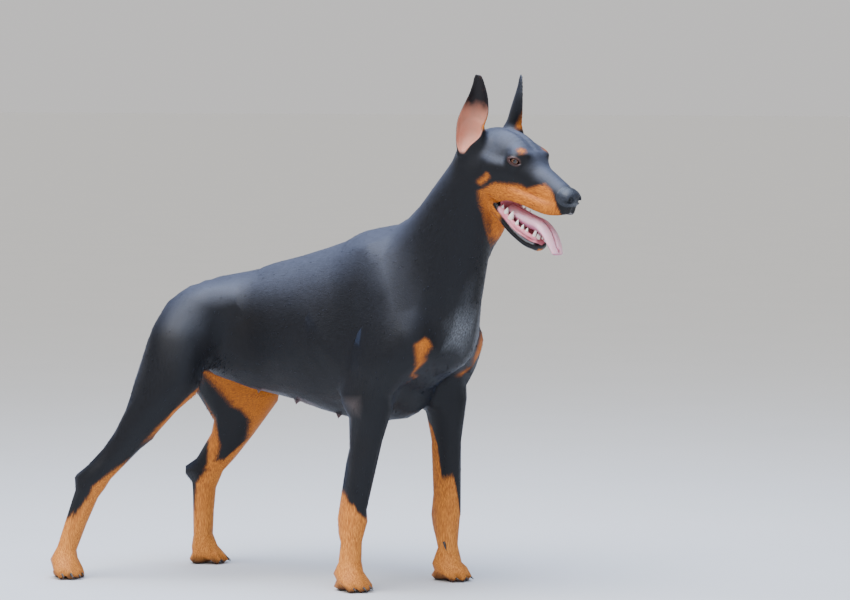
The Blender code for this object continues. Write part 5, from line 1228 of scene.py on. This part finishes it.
def eyeball(side, name):
    """A ball with a bulging cornea, its rings measured from the gaze."""
    mirror = np.array([1, side, 1])
    gaze = (EYE_OUT * mirror) @ HEAD_AXES
    up = (EYE_UP * mirror) @ HEAD_AXES
    across = np.cross(up, gaze)
    centre = head_point(EYE_AT[0], side * EYE_AT[1], EYE_AT[2])
    rings, sides = 48, 64
    verts, ring, spoke = [], [], []
    for i in range(rings + 1):
        a = pi * i / rings
        bulge = 0.0010 * max(0.0, 1 - (a / 0.62) ** 2)
        for j in range(sides):
            b = 2 * pi * j / sides
            way = cos(a) * gaze + sin(a) * (cos(b) * across + sin(b) * up)
            verts.append(centre + (EYE_RADIUS - 0.0004 + bulge) * way)
            ring.append(a)
            spoke.append(sin(b * 9) + 0.3 * sin(b * 23))
    faces = [(i * sides + j, (i + 1) * sides + j, (i + 1) * sides + (j + 1) % sides, i * sides + (j + 1) % sides)
             for i in range(rings) for j in range(sides)]
    made = mesh_from(name, np.array(verts), np.array(faces))
    set_attribute(made, "ring", ring)
    set_attribute(made, "spoke", spoke)
    return made


def horn(root, tip, bend, radius, flatness, sides=12, levels=9):
    """Rings of a curved taper from root to tip, narrowed almost to a point."""
    root, tip, bend = (np.asarray(v, float) for v in (root, tip, bend))
    way = (tip - root) / np.linalg.norm(tip - root)
    side = np.cross(way, (0, 0, 1.0))
    side /= np.linalg.norm(side) + 1e-9
    above = np.cross(side, way)
    verts, faces = [], []
    for k in range(levels):
        t = k / (levels - 1)
        r = radius * (1 - t ** 1.6 * 0.93)
        centre = root + (tip - root) * t + bend * t * t
        for i in range(sides):
            a = 2 * pi * i / sides
            verts.append(centre + r * (cos(a) * flatness * side + sin(a) * above))
    for k in range(levels - 1):
        for i in range(sides):
            j = (i + 1) % sides
            faces.append((k * sides + i, k * sides + j, (k + 1) * sides + j, (k + 1) * sides + i))
    return np.array(verts), faces


def joined(name, pieces):
    """One mesh from many ring stacks, with how near the root each point is."""
    verts, faces, root = [], [], []
    for v, f in pieces:
        start = sum(len(x) for x in verts)
        verts.append(v)
        faces += [tuple(start + i for i in face) for face in f]
        levels = len(v) // 12
        root.append(np.repeat(np.linspace(1, 0, levels), 12))
    made = mesh_from(name, np.vstack(verts), np.array(faces))
    set_attribute(made, "root", soft(np.concatenate(root), 0.4, 0.9))
    return made


TOES = ((-0.0215, 0.020), (-0.0078, 0.033), (0.0078, 0.033), (0.0215, 0.020))
# Teeth on the ridge of the lower jaw: place along it, height, half width
TOOTH_SIZES = [(0.02, 0.0060, 0.0036), (0.12, 0.0085, 0.0044), (0.24, 0.0115, 0.0050), (0.38, 0.0075, 0.0036),
               (0.50, 0.0065, 0.0032), (0.61, 0.0055, 0.0028), (0.79, 0.0155, 0.0036), (0.88, 0.0060, 0.0021),
               (0.94, 0.0055, 0.0020), (0.99, 0.0050, 0.0019)]


def claws_piece():
    pieces = []
    for side in (RIGHT, LEFT):
        for at, heading, size in ((FORE_FOOT[side], FORE_PAW_TURN[side], 1.0), (HIND_FOOT[side], HIND_PAW_TURN[side], 0.94)):
            f = np.array([cos(heading), sin(heading), 0])
            s = np.array([-sin(heading), cos(heading), 0])
            base = np.array([at[0], at[1], 0])
            for spread, reach in TOES:
                root = base + s * spread * size + f * (reach + 0.004) * size + (0, 0, 0.0135)
                tip = root + f * 0.0180 * size + (0, 0, -0.0055)
                pieces.append(horn(root, tip, (0, 0, -0.0035), 0.0036, 0.75))
        fx, fy = FORE_FOOT[side]
        root = np.array([fx + 0.004, fy - side * 0.017, 0.072])
        pieces.append(horn(root, root + (0.008, -side * 0.009, -0.013), (0.001, 0, -0.002), 0.0036, 0.75))
    return joined("claws", pieces)


def teeth_piece():
    ridge = spline(TOOTH_RIDGE, 8)
    pieces = []
    for side in (RIGHT, LEFT):
        for t, high, wide in TOOTH_SIZES:
            x, y, z = ridge[int(t * (len(ridge) - 1))]
            root = head_point(x, side * y, z - 0.004)
            tip = head_point(x + 0.35 * high, side * (y + 0.02 * high), z + high)
            bend = HEAD_X * (-0.10 * high)
            pieces.append(horn(root, tip, bend, wide * (1.2 if t < 0.7 else 1.0), 0.92))
    return joined("teeth", pieces)


def finish_piece(made, material, nodes=()):
    made.data.materials.clear()
    made.data.materials.append(material)
    made.data.transform(translation_of(SHIFT))
    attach(made, "root")
    if nodes:
        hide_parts(*nodes)


def translation_of(v):
    from mathutils import Matrix
    return Matrix.Translation(v.tolist())


def tufts(made_skin, name, density, size, seed, limit):
    """Thin closed tufts that lie along the coat, each a small patch at its root's place on the unwrapped body."""
    rng = np.random.default_rng(seed)
    mesh = made_skin.data
    mesh.calc_loop_triangles()
    tris = np.empty(len(mesh.loop_triangles) * 3, np.int32)
    mesh.loop_triangles.foreach_get("vertices", tris)
    tris = tris.reshape(-1, 3)
    p, no = points_of(made_skin), normals_of(made_skin)
    a, b, c = p[tris[:, 0]], p[tris[:, 1]], p[tris[:, 2]]
    area = np.linalg.norm(np.cross(b - a, c - a), axis=1) / 2
    middle = (a + b + c) / 3
    share = area * density(middle, no[tris[:, 0]])
    count = min(limit, int(share.sum()))
    pick = rng.choice(len(tris), count, p=share / share.sum())
    u, v = rng.random(count), rng.random(count)
    over = u + v > 1
    u[over], v[over] = 1 - u[over], 1 - v[over]
    root = a[pick] + u[:, None] * (b - a)[pick] + v[:, None] * (c - a)[pick]
    up = no[tris[pick, 0]] * (1 - u - v)[:, None] + no[tris[pick, 1]] * u[:, None] + no[tris[pick, 2]] * v[:, None]
    up /= np.linalg.norm(up, axis=1)[:, None]
    way, owner, along = flow(root)
    way -= np.einsum("ij,ij->i", way, up)[:, None] * up
    way /= np.linalg.norm(way, axis=1)[:, None] + 1e-9
    side = np.cross(up, way)
    swing = rng.normal(0, 0.16, count)[:, None]
    way = way * np.cos(swing) + side * np.sin(swing)
    side = np.cross(up, way)
    long, wide, lift = size(root, up, rng)
    rise = np.sin(lift)[:, None]
    half = (wide / 2)[:, None]
    reach = long[:, None]
    base = root - up * 0.0006
    mid = root + way * reach * 0.5 + up * (reach * rise * 0.60)
    tip = root + way * reach * 0.98 + up * (reach * rise * 0.85)
    ring0 = [base - side * half, base + side * half, base + up * half * 1.1]
    ring1 = [mid - side * half * 0.8, mid + side * half * 0.8, mid + up * half * 0.8]
    verts = np.stack(ring0 + ring1 + [tip], 1).reshape(-1, 3)
    shape = np.array([(0, 1, 4), (0, 4, 3), (1, 2, 5), (1, 5, 4), (2, 0, 3), (2, 3, 5), (3, 4, 6), (4, 5, 6), (5, 3, 6), (0, 2, 1)])
    shape = shape[:, ::-1]
    faces = (np.arange(count)[:, None, None] * 7 + shape).reshape(-1, 3)
    made = mesh_from(name, verts, faces)
    where = np.repeat(root, 7, axis=0)
    mark(made, where, np.repeat(up, 7, axis=0), face=False)
    # the unwrap: one strip for each line of the body, its length across and the turn round it upwards
    angle = turn_round(root, owner)
    lengths = np.array([sum(np.linalg.norm(np.subtract(b, a)) for a, b in zip(line[:-1], line[1:])) for line in LINES.values()])
    u0 = (owner % 4) * 0.25 + 0.01 + 0.225 * along / lengths[owner]
    v0 = (owner // 4) * 0.33 + 0.01 + 0.30 * angle
    corner = np.array([(-1, 0), (1, 0), (0, 0), (-1, 0.5), (1, 0.5), (0, 0.5), (0, 1)]) * (0.0015, 0.003)
    uv = (np.stack([u0, v0], 1)[:, None] + corner).reshape(-1, 2)
    layer = made.data.uv_layers.new(name="OFBake")
    loops = np.empty(len(made.data.loops), np.int32)
    made.data.loops.foreach_get("vertex_index", loops)
    layer.data.foreach_set("uv", uv[loops].astype(np.float32).ravel())
    return made


def turn_round(p, owner):
    """The turn of a point round its line of the body, from 0 to 1."""
    out = np.zeros(len(p))
    for number, points in enumerate(LINES.values()):
        m = owner == number
        points = np.array(points)
        nearest, offset = np.full(m.sum(), 9e9), np.zeros((m.sum(), 3))
        for a, b in zip(points[:-1], points[1:]):
            step = b - a
            t = np.clip((p[m] - a) @ step / (step @ step), 0, 1)
            d = p[m] - a - t[:, None] * step
            size = np.linalg.norm(d, axis=1)
            closer = size < nearest
            nearest[closer], offset[closer] = size[closer], d[closer]
        way = points[-1] - points[0]
        way = way / np.linalg.norm(way)
        one = np.cross(way, (0, 1, 0) if abs(way[1]) < 0.8 else (1, 0, 0))
        one /= np.linalg.norm(one)
        two = np.cross(way, one)
        out[m] = np.arctan2(offset @ two, offset @ one) / (2 * pi) + 0.5
    return out


def hairy(p, up):
    """0 where the skin is bare or the hair too short to draw: eyes, nose, lips, mouth, inner ear, pads."""
    bare = face_marks(p)
    cover = np.ones(len(p))
    for name in ("gum", "lip", "leather", "ear", "lid"):
        cover *= 1 - bare[name]
    return cover * (p[:, 2] > 0.008)


def fringe_density(p, up):
    """Hair that breaks the outline: flank fold, back of the thighs, backs of the lower legs, throat, belly and tail."""
    q = to_head(p)
    rear = soft(p[:, 0], -0.36, -0.44) * soft(-up[:, 0], 0.3, 0.8)
    belly = soft(-up[:, 2], 0.5, 0.9) * (p[:, 2] > 0.24)
    flank = soft(np.linalg.norm(p - beside(-0.375, -0.085, 0.372), axis=1), 0.06, 0.02)
    flank = np.maximum(flank, soft(np.linalg.norm(p - beside(-0.355, 0.085, 0.372), axis=1), 0.06, 0.02))
    throat = soft(up[:, 0], 0.5, 0.9) * (p[:, 2] > 0.42) * (np.linalg.norm(q, axis=1) > 0.13)
    legs = soft(-up[:, 0], 0.6, 0.95) * (p[:, 2] < 0.32)
    tail = soft(np.linalg.norm(p - beside(-0.49, 0, 0.455), axis=1), 0.05, 0.03)
    total = 9000 * rear + 9000 * belly + 60000 * flank + 14000 * throat + 9000 * legs + 40000 * tail
    return (1800 + total) * hairy(p, up)


def fringe_size(p, up, rng):
    n = len(p)
    flank = np.maximum(soft(np.linalg.norm(p - beside(-0.375, -0.085, 0.372), axis=1), 0.06, 0.02),
                       soft(np.linalg.norm(p - beside(-0.355, 0.085, 0.372), axis=1), 0.06, 0.02))
    face = soft(np.linalg.norm(p - EYES, axis=1), 0.20, 0.12)
    foot = soft(p[:, 2], 0.12, 0.04)
    long = 0.0085 * (1 + 0.7 * flank) * (1 - 0.62 * np.maximum(face, foot)) * rng.uniform(0.7, 1.25, n)
    wide = 0.0007 * (1 - 0.3 * np.maximum(face, foot)) * rng.uniform(0.7, 1.2, n)
    lift = (0.06 + 0.35 * flank) * rng.uniform(0.5, 1.4, n)
    return long, wide, lift


def studio():
    """A pale floor, soft light from above and from the camera's side, and the photograph's view."""
    half = 80.0
    floor = mesh_from("floor", np.array([(-half, -half, 0), (half, -half, 0), (half, half, 0), (-half, half, 0)]),
                      np.array([(0, 1, 2, 3)]), smooth=False)
    pale, tree, shader = blank_material("matt studio floor", Roughness=0.9)
    place = add(tree, "ShaderNodeTexCoord", out="Object")
    cloud = add(tree, "ShaderNodeTexNoise", {"Vector": place, "Scale": 3.0, "Detail": 2.0})
    tint = add(tree, "ShaderNodeMix", {0: cloud, 6: linear("#c9cbcc"), 7: linear("#cecfd0")}, out=2, data_type="RGBA")
    tree.links.new(tint, shader.inputs["Base Color"])
    floor.data.materials.append(pale)

    # the air: a pale band at the horizon like a far wall, dimmer above
    world = bpy.data.worlds.new("studio air")
    world.use_nodes = True
    tree = world.node_tree
    way = add(tree, "ShaderNodeTexCoord", out="Generated")
    height = add(tree, "ShaderNodeSeparateXYZ", {0: way}, out="Z")
    band = add(tree, "ShaderNodeMapRange", {0: height, 1: 0.10, 2: 0.28, 3: 1.00, 4: 0.26}, interpolation_type="SMOOTHSTEP")
    tree.nodes["Background"].inputs["Color"].default_value = linear("#dedcdb")
    tree.links.new(band, tree.nodes["Background"].inputs["Strength"])
    bpy.context.scene.world = world

    middle = np.array([0.0, 0.0, 0.45]) + SHIFT
    sun = bpy.data.lights.new("high soft sun", "SUN")
    sun.energy = 3.7
    sun.angle = radians(50)
    sun.color = linear("#fffaf4")[:3]
    lamps = [(sun, (-0.5, -1.5, 3.0))]
    for name, at, size, watts in (("sky panel", (-0.2, -0.3, 2.6), 2.6, 190.0), ("front panel", (2.4, -2.8, 1.8), 3.2, 44.0)):
        light = bpy.data.lights.new(name, "AREA")
        light.shape = "SQUARE"
        light.size = size
        light.energy = watts
        light.color = linear("#cfe0ff")[:3]
        lamps.append((light, at))
    for light, at in lamps:
        lamp = bpy.data.objects.new(light.name, light)
        lamp.location = np.array(at) + SHIFT
        way = mathutils_vector(middle - np.array(lamp.location))
        lamp.rotation_euler = way.to_track_quat("-Z", "Y").to_euler()
        bpy.context.scene.collection.objects.link(lamp)

    az = radians(25)
    eye = np.array([sin(az) * 6.0, -cos(az) * 6.0, 0.9]) + SHIFT
    aim = np.array([0, 0, 0.51]) + SHIFT
    data = bpy.data.cameras.new("camera")
    data.sensor_width = 36.0
    data.lens = 141.8
    camera = bpy.data.objects.new("camera", data)
    camera.location = eye
    camera.rotation_euler = mathutils_vector(aim - eye).to_track_quat("-Z", "Y").to_euler()
    bpy.context.scene.collection.objects.link(camera)
    bpy.context.scene.camera = camera


def mathutils_vector(v):
    from mathutils import Vector
    return Vector(np.asarray(v, float).tolist())


def main():
    coat, tuft = coat_material(), tuft_material()
    body = skin()
    fringe = tufts(body, "coat_tufts", fringe_density, fringe_size, 7, 19500)
    flesh = ["head", "nose", "lower_jaw", "right_ear", "left_ear", "neck", "thorax", "abdomen", "tail"]
    for word in ("right", "left"):
        flesh += [f"{word}_{part}" for part in ("upper_arm", "forearm", "forepaw", "thigh", "shank", "rear_pastern", "hindpaw")]
    finish_piece(body, coat, flesh)
    finish_piece(fringe, tuft)
    finish_piece(tongue_piece(), tongue_material(), ["tongue"])
    eye_look = eye_material()
    finish_piece(eyeball(RIGHT, "right_eyeball"), eye_look, ["right_eye"])
    finish_piece(eyeball(LEFT, "left_eyeball"), eye_look, ["left_eye"])
    finish_piece(teeth_piece(), tooth_material())
    finish_piece(claws_piece(), horn_material())
    studio()


main()
